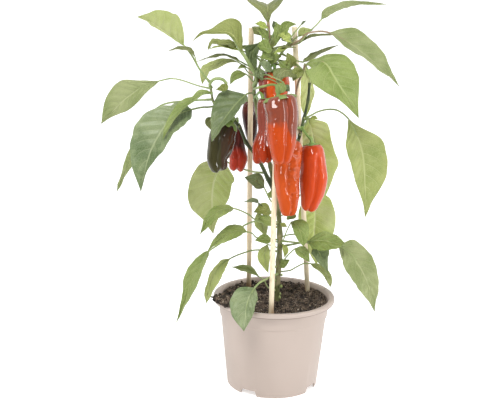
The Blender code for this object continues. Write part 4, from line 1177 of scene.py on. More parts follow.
LEAVES = (
    Leaf("leaf_high_left", ("left_tip", 353), ((-86, -20, 365), (-96, -16, 381)),
         ((-105, -10, 391), (-117, -2, 398), (-133, 10, 406), (-145, 18, 413), (-161, 28, 418)),
         (7, 13, 16, 17, 15, 11, 5), (8, 15, 22, 26, 25, 21, 11), (0.1, -0.7, 0.7), (50, 8), PALE),
    Leaf("leaf_high_left_slim", (-90, -19, 372), (),
         ((-92, -20, 380), (-98, -22, 387), (-109, -25, 389), (-120, -26, 386)),
         (4, 6, 6, 5, 4, 3, 1.5), (4, 4, 4, 3, 2.5, 2, 1), (0.0, -0.45, 0.9), (10, 10), OLIVE, 0.3, 0.6),
    Leaf("leaf_far_left", ("left_tip", 346), ((-86, -21, 348), (-97, -19, 351), (-108, -17, 354),
         (-119, -16, 355)),
         ((-131, -14, 352), (-147, -12, 347), (-161, -9, 337),
          (-173, -6, 327), (-185, -3, 315), (-198, 0, 301)),
         (6, 9.5, 12, 13, 12, 7.5, 3), (2.5, 8, 17, 19.5, 18.5, 15, 8.5), (0.1, -0.9, 0.4), (12, 12), MID,
         0.6, 0.75),
    Leaf("leaf_left_behind", ("left_tip", 334), ((-98, -6, 330), (-126, 2, 325)),
         ((-142, 4, 315), (-154, 4, 289), (-166, 2, 260), (-175, 0, 239), (-181, -4, 224)),
         (8.5, 8, 7, 6.5, 4, 2.5, 2), (7, 7, 6, 5.5, 4.5, 3, 2), (-0.3, -0.9, 0.3), (12, 12), MID),
    Leaf("leaf_left_broad", ("left_tip", 327), ((-76, -24, 326), (-83, -27, 326)),
         ((-94, -30, 324), (-106, -35, 320), (-119, -40, 311),
          (-130, -46, 293), (-139, -52, 271), (-146, -58, 238)),
         (19, 23.5, 23, 23, 22, 13, 4), (12, 14.5, 21.5, 26, 28, 24.5, 13), (-0.4, -0.8, 0.4), (20, 20),
         SAGE, 2.0),
    Leaf("leaf_left_folded", ("left_tip", 340), (),
         ((-72, -33, 343), (-82, -36, 342), (-90, -41, 336),
          (-102, -47, 327), (-113, -54, 313), (-122, -60, 296)),
         (5, 6, 6, 6, 6, 5, 3), (4, 7, 6, 8.5, 9, 8, 5), (-0.4, -0.5, 0.8), (30, 20), LUSH, 0.5),
    Leaf("leaf_left_pale", ("left", 250), ((-30, 10, 249), (-48, 17, 253)),
         ((-62, 22, 259), (-69, 25, 244), (-73, 28, 231), (-75, 32, 215),
          (-75, 36, 198), (-74, 40, 183), (-74, 44, 165)),
         (20.5, 21, 21.5, 20.5, 15, 9.5, 3.5), (20, 25, 27.5, 28.5, 26, 19, 9.5), (-0.1, -1.0, 0.15), (8, 8),
         PALE, 1.4),
    Leaf("leaf_mid_left", ("main", 186), ((-21, -8, 196), (-30, -14, 204), (-39, -20, 210)),
         ((-47, -25, 214), (-58, -33, 215), (-68, -42, 211), (-75, -48, 204), (-82, -53, 191)),
         (7, 12, 11.5, 10, 9, 8, 4), (5.5, 6, 7, 7, 5.5, 4, 2), (-0.1, -0.65, 0.75), (16, 10), LUSH, 1.0,
         0.9),
    Leaf("leaf_low_left", ("main", 172), ((-19, -10, 176), (-26, -16, 183)),
         ((-32, -20, 186), (-42, -26, 189), (-53, -32, 186), (-63, -38, 180), (-74, -45, 170)),
         (5.5, 10, 11.5, 12, 11, 7, 2.5), (6.5, 8.5, 9, 8, 7, 5, 3), (-0.1, -0.6, 0.8), (14, 14), LUSH, 0.8,
         0.8),
    Leaf("leaf_low_left_long", ("main", 190), ((-16, 0, 193), (-25, -1, 193), (-35, -2, 189),
         (-47, -2, 179), (-62, -2, 167)),
         ((-75, -2, 158), (-81, -6, 151), (-87, -11, 138), (-95, -17, 123),
          (-101, -23, 105), (-106, -27, 92), (-110, -31, 80)),
         (9, 14, 16, 18, 14, 8.5, 5), (5, 10.5, 12.5, 11, 6, 3, 1), (-0.65, -0.72, 0.25), (25, 10), LUSH),
    Leaf("leaf_low_left_narrow", ("main", 158), ((-15, -2, 160), (-26, -5, 160), (-34, -7, 158),
         (-43, -9, 155)),
         ((-51, -9, 151), (-62, -11, 143), (-70, -14, 130), (-75, -17, 115), (-77, -20, 100)),
         (8, 13.5, 15, 15, 13.5, 10.5, 6), (3, 4, 5, 5, 4, 4.5, 3), (-0.6, -0.7, 0.4), (16, 16), PALE, 0.7,
         0.9),
    Leaf("leaf_over_rim", ("main", 131), ((-3, -25, 136), (-9, -45, 139), (-16, -55, 138)),
         ((-21, -60, 134), (-26, -68, 127), (-29, -75, 118), (-30, -83, 107), (-31, -92, 95)),
         (6, 9.5, 9.5, 9, 9, 7, 3.5), (9, 16, 18, 19, 17, 14.5, 8), (0.0, -0.85, 0.55), (10, 8), SAGE, 1.0,
         1.1),
    Leaf("leaf_high_right", ("upper", 394), ((21, 0, 397), (26, 0, 402), (33, 0, 410), (38, 0, 415)),
         ((43, 0, 421), (49, 2, 428), (57, 5, 432), (67, 9, 436),
          (79, 13, 438), (97, 17, 439), (115, 20, 438)),
         (6, 7, 7, 7, 6, 4, 1.5), (5, 7, 7, 7, 6, 4, 3), (0.0, -0.45, 0.9), (8, 8), MID, 0.5, 0.8),
    Leaf("leaf_right_arched", ("upper", 389), ((21, -4, 399), (26, -6, 405), (34, -8, 408), (44, -8, 409)),
         ((52, -8, 408), (66, -9, 402), (80, -10, 393), (95, -11, 382),
          (109, -12, 371), (120, -12, 362), (130, -12, 352)),
         (12, 22, 22.5, 20, 16.5, 10, 3.5), (16, 21, 21, 16, 11, 7, 4), (0.25, -0.55, 0.8), (15, 25),
         reddish=True),
    Leaf("leaf_right_front", ("right", 296), ((20, 2, 308), (18, 0, 327), (18, -6, 339), (20, -13, 353),
         (25, -17, 366)),
         ((26, -18, 373), (34, -22, 377), (44, -26, 379), (51, -31, 374),
          (57, -36, 364), (65, -42, 352), (74, -48, 340), (84, -56, 323)),
         (3, 6, 18, 25, 25.5, 21, 9.5), (8, 22, 30, 31, 26.5, 17.5, 8), (0.15, -0.75, 0.65), (10, 14), LUSH,
         1.2, 1.3, reddish=True),
    Leaf("leaf_right_slim", ("upper", 383), ((12, 4, 378), (20, 6, 375)),
         ((25, 10, 374), (33, 13, 380), (46, 19, 386), (64, 26, 392)),
         (2, 2, 3, 3, 3, 2, 1.5), (4, 6, 7, 6, 5, 4, 2), (0.0, -0.45, 0.9), (10, 10), OLIVE, 0.4),
    Leaf("leaf_right_long", ("right", 312), ((36, 2, 316), (43, 2, 320), (53, 1, 323), (63, 0, 323),
         (71, 0, 319)),
         ((77, 0, 314), (83, 0, 304), (89, 1, 292), (94, 2, 277),
          (97, 4, 260), (99, 6, 241), (101, 8, 220), (102, 10, 199)),
         (4, 12, 25, 28, 27, 22, 9), (8, 17.5, 20, 19, 16, 10, 4), (0.35, -0.9, 0.2), (10, 14), FRESH, 1.2,
         0.9),
    Leaf("leaf_behind_fruit", ("right", 300), ((31, 14, 306), (33, 22, 310)),
         ((34, 26, 309), (38, 30, 295), (43, 36, 277), (47, 42, 254), (50, 46, 233), (54, 50, 205)),
         (17, 20, 19, 21, 24, 17.5, 10.5), (13, 17, 20, 21.5, 21, 18.5, 13), (0.05, -1.0, 0.2), (8, 8),
         BACKLIT_GLOW, 1.0),
    Leaf("leaf_right_pale", ("main", 204), ((22, 12, 218), (36, 24, 226)),
         ((45, 30, 225), (46, 34, 206), (46, 39, 187), (46, 45, 165), (50, 56, 127)),
         (15, 20, 23, 24, 24, 21.5, 14), (14, 19, 20.5, 20, 18, 15, 8.5), (0.1, -1.0, 0.2), (8, 8), BACKLIT_GLOW,
         1.0),
    Leaf("leaf_low_right_long", ("main", 164), ((40, 4, 170), (58, -2, 173)),
         ((72, -6, 169), (85, -10, 162), (94, -14, 150),
          (104, -19, 134), (110, -24, 118), (114, -30, 100)),
         (15, 18, 19, 18, 15, 10, 4), (15, 19, 21, 22, 19, 14, 8), (0.45, -0.75, 0.5), (12, 12), MID, 1.2),
    Leaf("leaf_low_right_short", ("main", 175), ((16, -9, 181), (25, -13, 182)),
         ((37, -17, 176), (47, -19, 178), (58, -22, 178), (67, -24, 177), (77, -26, 178)),
         (5, 9, 11, 11, 10, 9, 6), (12, 14, 15, 14, 12, 9, 6), (0.0, -0.7, 0.7), (12, 12), LUSH, 0.8, 0.8),
    Leaf("leaf_low_right_dark", ("main", 171), ((24, -9, 172), (36, -12, 173)),
         ((44, -15, 170), (50, -18, 163), (54, -21, 155), (60, -24, 143)),
         (6, 8.5, 11, 10, 7, 5, 3), (8, 8.5, 8.5, 8, 7, 5, 2.5), (0.2, -0.8, 0.5), (12, 12), DARK, 0.6),
    Leaf("leaf_low_right_small", ("main", 133), ((10, 2, 134), (18, 3, 135), (25, 4, 139), (33, 5, 143)),
         ((41, 6, 143), (50, 8, 140), (59, 13, 131), (64, 16, 122), (66, 20, 111)),
         (1.5, 2.5, 3.5, 4, 4, 4, 3.5), (4, 5, 5, 5, 5.5, 5, 3), (0.2, -0.8, 0.5), (10, 10), PALE, 0.4, 0.8),
    Leaf("leaf_under_fruit", ("main", 168), ((9, -10, 175), (12, -16, 186)),
         ((17, -24, 200), (24, -30, 197), (28, -36, 189), (31, -42, 177)),
         (5, 9, 11, 11, 10, 8, 5), (4, 6.5, 7, 7.5, 7, 6, 4), (0.1, -0.8, 0.6), (12, 12), LUSH, 0.6, 0.7),
    Leaf("leaf_behind_right_cane", ("right", 346), ((33, 12, 358), (28, 22, 370)),
         ((27, 27, 368), (32, 30, 352), (34, 34, 334), (31, 37, 308)),
         (3, 4, 5, 5, 6, 4, 3), (5, 8, 9, 10, 10, 10, 7), (0.1, -1.0, 0.15), (8, 8), BACKLIT_GLOW, 0.6),
    Leaf("leaf_top_left", ("middle", 347), ((-25, -6, 355), (-30, -10, 367), (-36, -13, 377)),
         ((-40, -15, 384), (-44, -16, 391), (-49, -17, 399), (-55, -19, 405),
          (-63, -22, 407), (-74, -25, 406), (-84, -28, 405), (-94, -30, 397)),
         (4, 5, 5, 4, 4, 3, 2), (4, 12, 23, 16, 9, 4, 2), (0.0, -0.7, 0.72), (24, 10), MOSS, 0.7, 2.0),
    Leaf("leaf_top_left_lower", ("middle", 374), ((-28, 2, 380), (-38, 3, 387)),
         ((-47, 4, 390), (-56, 5, 393), (-67, 7, 394), (-76, 8, 393), (-80, 10, 385)),
         (8, 8, 7, 6, 7, 8, 5), (3, 4, 4, 4, 4, 5, 5), (0.0, -0.5, 0.85), (12, 12), MOSS, 0.8),
    Leaf("leaf_top_dark", ("middle", 386), ((-18, -2, 395),),
         ((-23, -4, 395), (-29, -2, 387), (-31, -1, 378), (-29, 0, 367), (-26, 1, 355)),
         (4, 5.5, 5.5, 5.5, 5, 3.5, 2), (4.5, 10, 8.5, 5, 4, 3, 2), (0.15, -0.95, 0.3), (12, 12), DARK, 0.5),
    Leaf("leaf_top_slim", ("middle", 366), ((-35, 4, 369),),
         ((-45, 5, 374), (-52, 6, 377), (-60, 6, 380), (-71, 6, 379), (-81, 6, 376), (-92, 6, 372)),
         (3, 4, 5, 5, 4, 3, 2), (2.5, 3, 3, 3, 3, 2.5, 1), (0.0, -0.3, 1.0), (10, 10), OLIVE, 0.3, 0.9),
    Leaf("leaf_top_pale", ("middle", 358), ((-34, 8, 360), (-41, 11, 368)),
         ((-47, 13, 372), (-58, 15, 373), (-69, 18, 370), (-79, 21, 365), (-84, 23, 358), (-87, 25, 345)),
         (2, 5, 7, 8, 8, 8, 6), (2, 2.5, 4.5, 4.5, 5, 8, 7), (-0.1, -0.8, 0.6), (12, 12), PALE, 0.5, 0.7),
    Leaf("leaf_over_green_fruit", ("middle", 339), ((-33, -14, 341),),
         ((-36, -26, 341), (-44, -34, 334), (-53, -44, 324), (-63, -54, 310), (-70, -63, 295)),
         (9.5, 12, 13, 13, 12, 8, 4), (22.5, 23, 23, 21, 16, 10, 5.5), (-0.45, -0.75, 0.5), (18, 14), DARK,
         1.2),
    Leaf("leaf_crown", ("middle", 391), ((-13, 1, 404),),
         ((-14, -2, 415), (-15, -1, 425), (-15, 3, 432), (-16, 12, 435), (-16, 26, 435), (-17, 40, 434)),
         (4, 9, 20, 24, 18, 12, 6), (3, 6, 14, 19, 15, 10, 5), (0.0, -0.6, 0.8), (22, 22), OLIVE, 0.6, 1.7,
         reddish=True),
    Leaf("leaf_draped", ("upper", 371), ((8, -4, 372), (20, -9, 371)),
         ((26, -16, 366), (16, -22, 367), (6, -27, 368), (0, -31, 363), (-1, -34, 354)),
         (5, 9, 10, 9, 8, 6, 3), (4, 3.5, 3, 6, 9.5, 9, 4), (0.0, -0.6, 0.8), (-10, -10), OLIVE, 0.3),
)
SMALL_LEAVES = tuple(small_leaf(*row) for row in (
    (("middle", 390), ((-14, -2, 411), (-21, -6, 414), (-28, -10, 416)), 4, YOUNG),
    (("middle", 388), ((-13, 0, 399), (-19, -3, 405), (-25, -5, 411)), 4.5),
    (("middle", 384), ((-21, 6, 402), (-26, 8, 407), (-32, 10, 411)), 5, OLIVE),
    (("middle", 391), ((-7, 4, 408), (-7, 5, 414), (-9, 6, 418)), 3, SAGE),
    (("middle", 392), ((-5, 2, 416), (-3, -1, 407), (-6, -5, 392)), 5, LUSH, (0.3, -0.9, 0.3),
     ((-8, 2, 404), (-6, 3, 415))),
    (("upper", 396), ((1, 0, 398), (3, -2, 408), (7, -5, 415), (16, -8, 416)), 5),
    (("middle", 382), ((-9, -6, 388), (-17, -12, 391), (-25, -17, 392)), 8),
    (("middle", 374), ((-8, -8, 380), (-14, -14, 381), (-22, -19, 380)), 6),
    (("upper", 386), ((8, -6, 391), (0, -10, 388), (-7, -14, 384)), 3.5, YOUNG, UPWARD),
    (("upper", 384), ((-7, -4, 390), (5, -7, 391), (17, -9, 391)), 3, OLIVE, UPWARD),
    (("upper", 372), ((11, -10, 368), (11, -14, 377), (7, -17, 386)), 5.5, MOSS),
    (("middle", 378), ((-44, 0, 386), (-53, 0, 388), (-64, 0, 390), (-77, 0, 387)), 3.5, YOUNG, UPWARD),
    (("upper", 370), ((-1, -10, 376), (5, -14, 372), (12, -18, 368)), 5),
    (("upper", 366), ((-8, -16, 367), (-15, -23, 371), (-23, -29, 376)), 5.5, SAGE),
    (("middle", 362), ((-23, -8, 368), (-22, -12, 362), (-19, -16, 355)), 5, DARK),
    (("middle", 355), ((4, -40, 357), (1, -44, 350), (-3, -47, 344)), 5.5, LUSH, FRONTAL, ((-16, -18, 362),
     (-8, -30, 361))),
    (("middle", 352), ((3, -34, 352), (7, -37, 350), (11, -40, 347)), 4, DARK, FRONTAL, ((-14, -20, 358),
     (-4, -30, 356))),
    (("upper", 376), ((26, -20, 367), (19, -25, 365), (14, -29, 357)), 6, MOSS, FRONTAL, ((16, -8, 374),)),
    (("upper", 393), ((19, 8, 402), (25, 10, 407), (35, 12, 409)), 4.5, PALE),
    (("upper", 390), ((20, 2, 395), (27, 1, 400), (40, 0, 404), (59, -1, 405)), 2.5, OLIVE, UPWARD),
    (("upper", 382), ((21, -6, 415), (24, -7, 418), (26, -7, 420)), 1.2, SAGE, FRONTAL, ((6, 0, 392),
     (12, -3, 403))),
    (("middle", 350), ((-37, 2, 360), (-44, -3, 360), (-50, -8, 357), (-54, -12, 350)), 5),
    (("middle", 360), ((-37, 6, 367), (-42, 4, 368), (-47, 2, 365)), 2),
    (("left_tip", 347), ((-57, -29, 353), (-60, -32, 348), (-68, -34, 346)), 4, MOSS, FRONTAL,
     ((-75, -26, 352), (-70, -27, 357), (-62, -28, 357)), 1.7),
    (("main", 200), ((-20, -6, 210), (-20, -10, 217), (-27, -14, 220), (-36, -17, 220)), 5, SAGE, UPWARD),
    (("main", 199), ((-5, -6, 205), (-14, -12, 210), (-25, -17, 208)), 7, MOSS),
    (("main", 192), ((-3, -10, 197), (-11, -16, 199), (-20, -21, 201)), 7),
    (("main", 206), ((-21, 8, 202), (-16, 10, 188), (-11, 10, 172)), 7, PALE, LEFTWARD),
    (("main", 168), ((-4, -8, 174), (-13, -14, 176), (-23, -19, 176)), 5.5),
    (("main", 162), ((-9, -6, 168), (-12, -10, 154), (-7, -13, 136)), 7, PALE, LEFTWARD),
    (("main", 166), ((9, -4, 168), (12, -7, 162), (11, -9, 154)), 3, YOUNG),
    (("main", 137), ((6, -3, 142), (11, -7, 146), (17, -11, 152)), 4.5),
    (("main", 145), ((22, -20, 168), (31, -26, 165), (39, -31, 156)), 6, LUSH, FRONTAL, ((10, -6, 150),
     (15, -12, 158))),
    (("main", 200), ((20, -8, 207), (17, -12, 204), (12, -15, 200)), 5),
    (("main", 212), ((-14, -10, 235), (-23, -14, 243), (-36, -18, 248)), 8, DARK, FRONTAL,
     ((-6, -4, 218),)),
    (("main", 214), ((-5, -4, 222), (-7, -6, 227), (-6, -8, 232)), 3),
    (("main", 190), ((6, -4, 193), (9, -6, 191), (13, -8, 190)), 2.5, YOUNG),
    (("left", 312), ((-71, -18, 314), (-76, -20, 309), (-74, -22, 301)), 4, OLIVE),
    (("middle", 380), ((-16, 8, 384), (-27, 9, 388), (-38, 10, 389), (-52, 10, 386)), 4, LUSH, UPWARD),
    (("upper", 368), ((-14, 4, 372), (-6, 0, 378), (1, -4, 381)), 6),
    (("upper", 388), ((12, -2, 396), (5, -4, 402), (-3, -6, 404)), 5, YOUNG),
    (("middle", 376), ((-16, 10, 386), (-9, 12, 396), (-1, 14, 402)), 6, PALE),
    (("middle", 366), ((-20, 6, 376), (-12, 8, 384), (-4, 10, 388)), 6, MID),
    (("right", 310), ((35, 0, 313), (39, -3, 314), (43, -5, 313)), 2.5, YOUNG),
    (("main", 116), ((-18, 14, 123), (-29, 18, 129), (-39, 21, 130), (-51, 23, 131)), 6, LUSH,
     (0.0, -0.3, 1.0), ((-6, 6, 112), (-12, 10, 120))),
))


@dataclass
class Foliage:
    """All the leaves, each with its stalk, its midrib and a quilted, veined blade."""

    columns: int = 24
    rows: int = 48
    small_columns: int = 12
    small_rows: int = 20
    thickness: float = 0.45
    vein_gap: float = 11.5  # mm between side veins along the midrib
    puff: float = 0.6  # how far the blade swells between two veins
    puff_width: float = 14.0  # half width from which it swells in full
    groove: float = 0.6  # depth of the groove over the midrib
    groove_half: float = 1.6  # half its width
    groove_width: float = 8.0  # half width of the blade from which it is that deep
    waves: float = 2.6  # waves along the edge
    ripples: float = 7.3  # the smaller waves on them
    ripple_share: float = 0.35  # how high these are, as a share of the waves
    # The height of each kind of small bend, how many lie across and along, and its layer of the noise
    crumples: tuple[tuple[float, float, float, float], ...] = ((1.1, 1.3, 3.0, 0.0), (0.5, 3.1, 8.0, 7.0))
    stalk_radius: float = 1.0
    root_swell: float = 0.55  # how much thicker a stalk is at its root
    rib_thinning: float = 0.86  # how much thinner it is at the tip of the midrib
    rib_drop: float = 0.75  # how far it hangs below the blade there, as a share of its radius
    stalk_groove: float = 0.18
    stalk_steps: int = 16
    stalk_skin: StalkFinish = StalkFinish("leaf_stalk", (0.27, 0.33, 0.13), (0.20, 0.27, 0.09))
    materials: dict[str, tuple[Material, Material]] = field(default_factory=dict)

    def finish(self, tone: Tone) -> tuple[Material, Material]:
        """Give the materials of a blade's two faces, making them the first time."""
        if tone.name not in self.materials:
            self.materials[tone.name] = (tone.value.blade_material(False), tone.value.blade_material(True))
        return self.materials[tone.name]

    def half_width(self, leaf: Leaf, share: float, out: float) -> float:
        """Give a blade's half width at a share of the way along it, on the side that out points to."""
        side = leaf.right if out > 0 else leaf.left
        widths = [Vector((width, 0.0, 0.0)) for width in (0.0, *side, 0.0)]
        return max(curve_point(widths, share).x, 0.25)

    def blade_point(self, leaf: Leaf, station: Station, out: float, share: float, veins: int,
                    phases: tuple[float, float, float]) -> Vector:
        """Give the place of one point of a blade.

        Args:
            leaf: The leaf.
            station: The midrib at this share of the way.
            out: From -1 at the left edge to 1 at the right edge.
            share: From 0 at the base to 1 at the tip.
            veins: How many side veins each half has.
            phases: Where the edge's waves start on both sides, and the seed of its small bends.

        Returns:
            The place in mm.
        """
        width = self.half_width(leaf, share, out)
        reach = abs(out)
        size = min(1.0, width / (0.25 * max(*leaf.left, *leaf.right)))
        lift = math.radians(leaf.fold[1] if out > 0 else leaf.fold[0])
        rise = width * reach * math.sin(lift)
        phase = phases[0] if out > 0 else phases[1]
        rise += leaf.wave * size * reach ** 2.6 * math.sin(math.tau * self.waves * share + phase)
        ripple = self.ripple_share * leaf.wave * size * reach ** 3
        rise += ripple * math.sin(math.tau * self.ripples * share + phase * 2.1)
        vein_phase = veins * share - VEIN_LEAN * reach ** VEIN_CURVE + (VEIN_STAGGER if out > 0 else 0.0)
        swelling = eased(reach, 0.02, 0.25) * (1 - reach ** 4)
        puff = self.puff * min(1.0, leaf.wave) * min(1.0, width / self.puff_width) ** 2
        rise += puff * swelling * math.cos(math.tau * vein_phase)
        groove = self.groove * min(1.0, width / self.groove_width)
        rise -= groove * math.exp(-(width * reach / self.groove_half) ** 2)
        for height, across, along, layer in self.crumples:
            spot = Vector((out * across, share * along, phases[2] + layer))
            rise += height * size * noise.noise(spot)
        return station.centre + station.side * (width * out * math.cos(lift)) + station.up * rise

    def blade(self, leaf: Leaf, stations: list[Station], seed: int) -> Piece:
        """Shape a grid into a leaf blade and give it its thickness.

        Args:
            leaf: The leaf.
            stations: The midrib, one station more than the blade has rows.
            seed: What its random draws start from.

        Returns:
            The blade.
        """
        rows = len(stations) - 1
        draw = random.Random(seed)
        phases = (draw.uniform(0.0, 6.0), draw.uniform(0.0, 6.0), draw.uniform(0.0, 50.0))
        length = sum((b.centre - a.centre).length for a, b in zip(stations, stations[1:]))
        veins = max(3, round(length / self.vein_gap))
        columns = self.small_columns if leaf.small else self.columns
        deselect_all()
        bpy.ops.mesh.primitive_grid_add(x_subdivisions=columns, y_subdivisions=rows, size=2.0)
        blade = started("blade")
        for loop in blade.data.uv_layers.active.data:
            loop.uv.y *= veins
        for vertex in blade.data.vertices:
            out, share = vertex.co.x, (vertex.co.y + 1.0) / 2.0
            station = stations[round(share * rows)]
            vertex.co = self.blade_point(leaf, station, out, share, veins, phases) * MM
        upper, under = self.finish(leaf.tone)
        put_finish(blade, upper, under)
        apply_modifier(blade, "SOLIDIFY", thickness=self.thickness * MM, offset=0.0, material_offset=1)
        return blade

    def leaf(self, leaf: Leaf, seed: int, skin: Material) -> Piece:
        """Make one whole leaf."""
        rows = self.small_rows if leaf.small else self.rows
        root = on_branch(*leaf.root) if isinstance(leaf.root[0], str) else Vector(leaf.root)
        stalk = smooth_path([root, *leaf.stalk, leaf.rib[0]], self.stalk_steps)
        midrib = smooth_path(leaf.rib, rows)
        stations = stations_on(stalk[:-1] + midrib, len(stalk) - 1 + rows // 2, Vector(leaf.facing))
        blade = self.blade(leaf, stations[len(stalk) - 1:], seed)
        spine = stations[:len(stalk) - 1] + stations[len(stalk) - 1::2][:-2]
        stalk_share = len(stalk) / len(spine)
        thick = self.stalk_radius * leaf.stalk_size

        def radius(share: float, turn: float) -> float:
            """Give the stalk's radius, thick at its root and thin at the tip of the midrib."""
            swell = self.root_swell * math.exp(-(share / 0.05) ** 2)
            thinning = 1.0 - self.rib_thinning * eased(share, stalk_share * 0.8, 1.0)
            grooved = 1.0 - self.stalk_groove * max(0.0, math.sin(turn)) ** 4
            return thick * (thinning + swell) * grooved

        lowered = []
        for i, station in enumerate(spine):
            drop = self.rib_drop * thick * eased(i / len(spine), stalk_share * 0.8, stalk_share * 1.1)
            lowered.append(replace(station, centre=station.centre - station.up * drop))
        bar = swept_bar("stalk", lowered, 8 if leaf.small else 12, radius)
        put_finish(bar, bpy.data.materials[RED_SKIN.name] if leaf.reddish else skin)
        made = join([blade, bar], f"{leaf.node}_grown" if leaf.node else "small_leaf")
        smooth_faces(made, 70.0)
        return made

    def build(self) -> None:
        """Build every leaf and hand it over."""
        skin = self.stalk_skin.material()
        RED_SKIN.material()
        for i, leaf in enumerate(LEAVES):
            settle(self.leaf(leaf, 100 + i, skin), leaf_slot(leaf.node), leaf.node)
        small = [self.leaf(leaf, 300 + i, skin) for i, leaf in enumerate(SMALL_LEAVES)]
        settle(join(small, "small_leaves"), "leaf")


# Fruit


# Its top colour, darker above about 300 mm, is painted shade
RIPE = FruitFinish("pepper_ripe", "pepper_ripe", (0.42, 0.045, 0.010), (0.49, 0.052, 0.009), 300.0, 20.0)
HIGH_RIPE = FruitFinish("pepper_high", "pepper_ripe", (0.22, 0.030, 0.015), (0.62, 0.085, 0.012), 300.0, 20.0,
                        (-17.0, -10.0, 100.0))
LONG_RIPE = FruitFinish("pepper_long", "pepper_ripe", (0.48, 0.066, 0.008), (0.43, 0.060, 0.007), 250.0, 60.0)
RIPENING = FruitFinish("pepper_ripening", "pepper_ripening", (0.185, 0.043, 0.023), (0.40, 0.046, 0.004),
                       316.0, 7.0, (8.0, 13.0, -14.0))
TURNING = FruitFinish("pepper_turning", "pepper_turning", (0.24, 0.058, 0.040), (0.30, 0.030, 0.006),
                      294.0, 24.0)
MAROON = FruitFinish("pepper_maroon", "pepper_dark", (0.10, 0.022, 0.018), (0.035, 0.010, 0.011), 312.0, 16.0)
SHADED = FruitFinish("pepper_shaded", "pepper_turning", (0.045, 0.014, 0.013), (0.36, 0.030, 0.012),
                     272.0, 16.0)
UNRIPE = FruitFinish("pepper_unripe", "pepper_unripe", (0.040, 0.023, 0.012), (0.036, 0.032, 0.010),
                     240.0, 20.0, (-58.0, -64.0, 90.0))


@dataclass(frozen=True)
class Furrow:
    """A furrow down a fruit, by its turn at the top and at the tip: 0 is to the right, -90 to the front."""

    top: float
    tip: float
    depth: float = 0.13  # as a share of the radius
    width: float = 15.0  # degrees
    start: float = -0.1  # share of the way down where it begins
    end: float = 1.1


@dataclass(frozen=True)
class Dent:
    """A shallow dent, or a swelling if its height is positive."""

    share: float
    turn: float
    height: float
    along: float  # half its size down the fruit, in mm
    round: float  # half its size round the fruit, in mm


@dataclass(frozen=True)
class Fruit:
    """A fruit and its stalk, named by the ends of its two nodes' names. The radii are at even steps."""

    name: str
    root: tuple[str, float]
    stalk: tuple[Place, ...]
    axis: tuple[Place, ...]
    radii: tuple[float, ...]
    furrows: tuple[Furrow, ...]
    finish: FruitFinish
    dents: tuple[Dent, ...] = ()
    wrinkles: tuple[float, float, float] = (0.0, -90.0, 60.0)  # height, middle turn, half width
    lobe_tips: float = 2.0  # how far the lobes reach below the tip between them
    cup_share: float = 0.62  # the cup's radius as a share of the fruit's
    cup_drop: float = 0.0  # how far the cup's teeth hang down the shoulder

    def on_axis(self, down: float) -> Vector:
        """Give the axis point at a share of the way down, also a little above or below its ends."""
        points = [Vector(point) for point in self.axis]
        inside = clamped(down)
        ahead = min(inside + NEAR, 1.0)
        way = (curve_point(points, ahead) - curve_point(points, ahead - NEAR)) / NEAR
        return curve_point(points, inside) + way * (down - inside)

    def length(self) -> float:
        """Give the distance between the axis's ends."""
        return (Vector(self.axis[0]) - Vector(self.axis[-1])).length

    def girth(self, down: float) -> float:
        """Give the radius at a share of the way down, with both ends rounded."""
        sizes = list(self.radii)
        first, last = 2 * sizes[1] - sizes[2], 2 * sizes[-2] - sizes[-3]
        inner = [Vector((size, 0.0, 0.0)) for size in (first, *sizes[1:-1], last)]
        step = 1.0 / (len(sizes) - 1)
        into_top = clamped(1.0 - down / step)
        into_tip = clamped(1.0 - (1.0 - down) / step)
        rounded = math.sqrt(1.0 - (1.0 - (sizes[0] / first) ** 2) * into_top ** 3)
        rounded *= math.sqrt(1.0 - (1.0 - (sizes[-1] / last) ** 2) * into_tip ** 3)
        return curve_point(inner, down).x * rounded

    def outline(self, polar: float) -> Pair:
        """Give the share down and the radius at a place from the top's pit, 0, to the tip, 1."""
        if polar < TOP_CAP:
            part = polar / TOP_CAP
            return PIT * (1 - part) ** 1.5, self.radii[0] * part
        if polar > 1 - TIP_CAP:
            part = (1 - polar) / TIP_CAP
            return 1.0 + 0.01 * (1 - part) ** 2, self.radii[-1] * part
        down = (polar - TOP_CAP) / (1 - TOP_CAP - TIP_CAP)
        return down, self.girth(down)


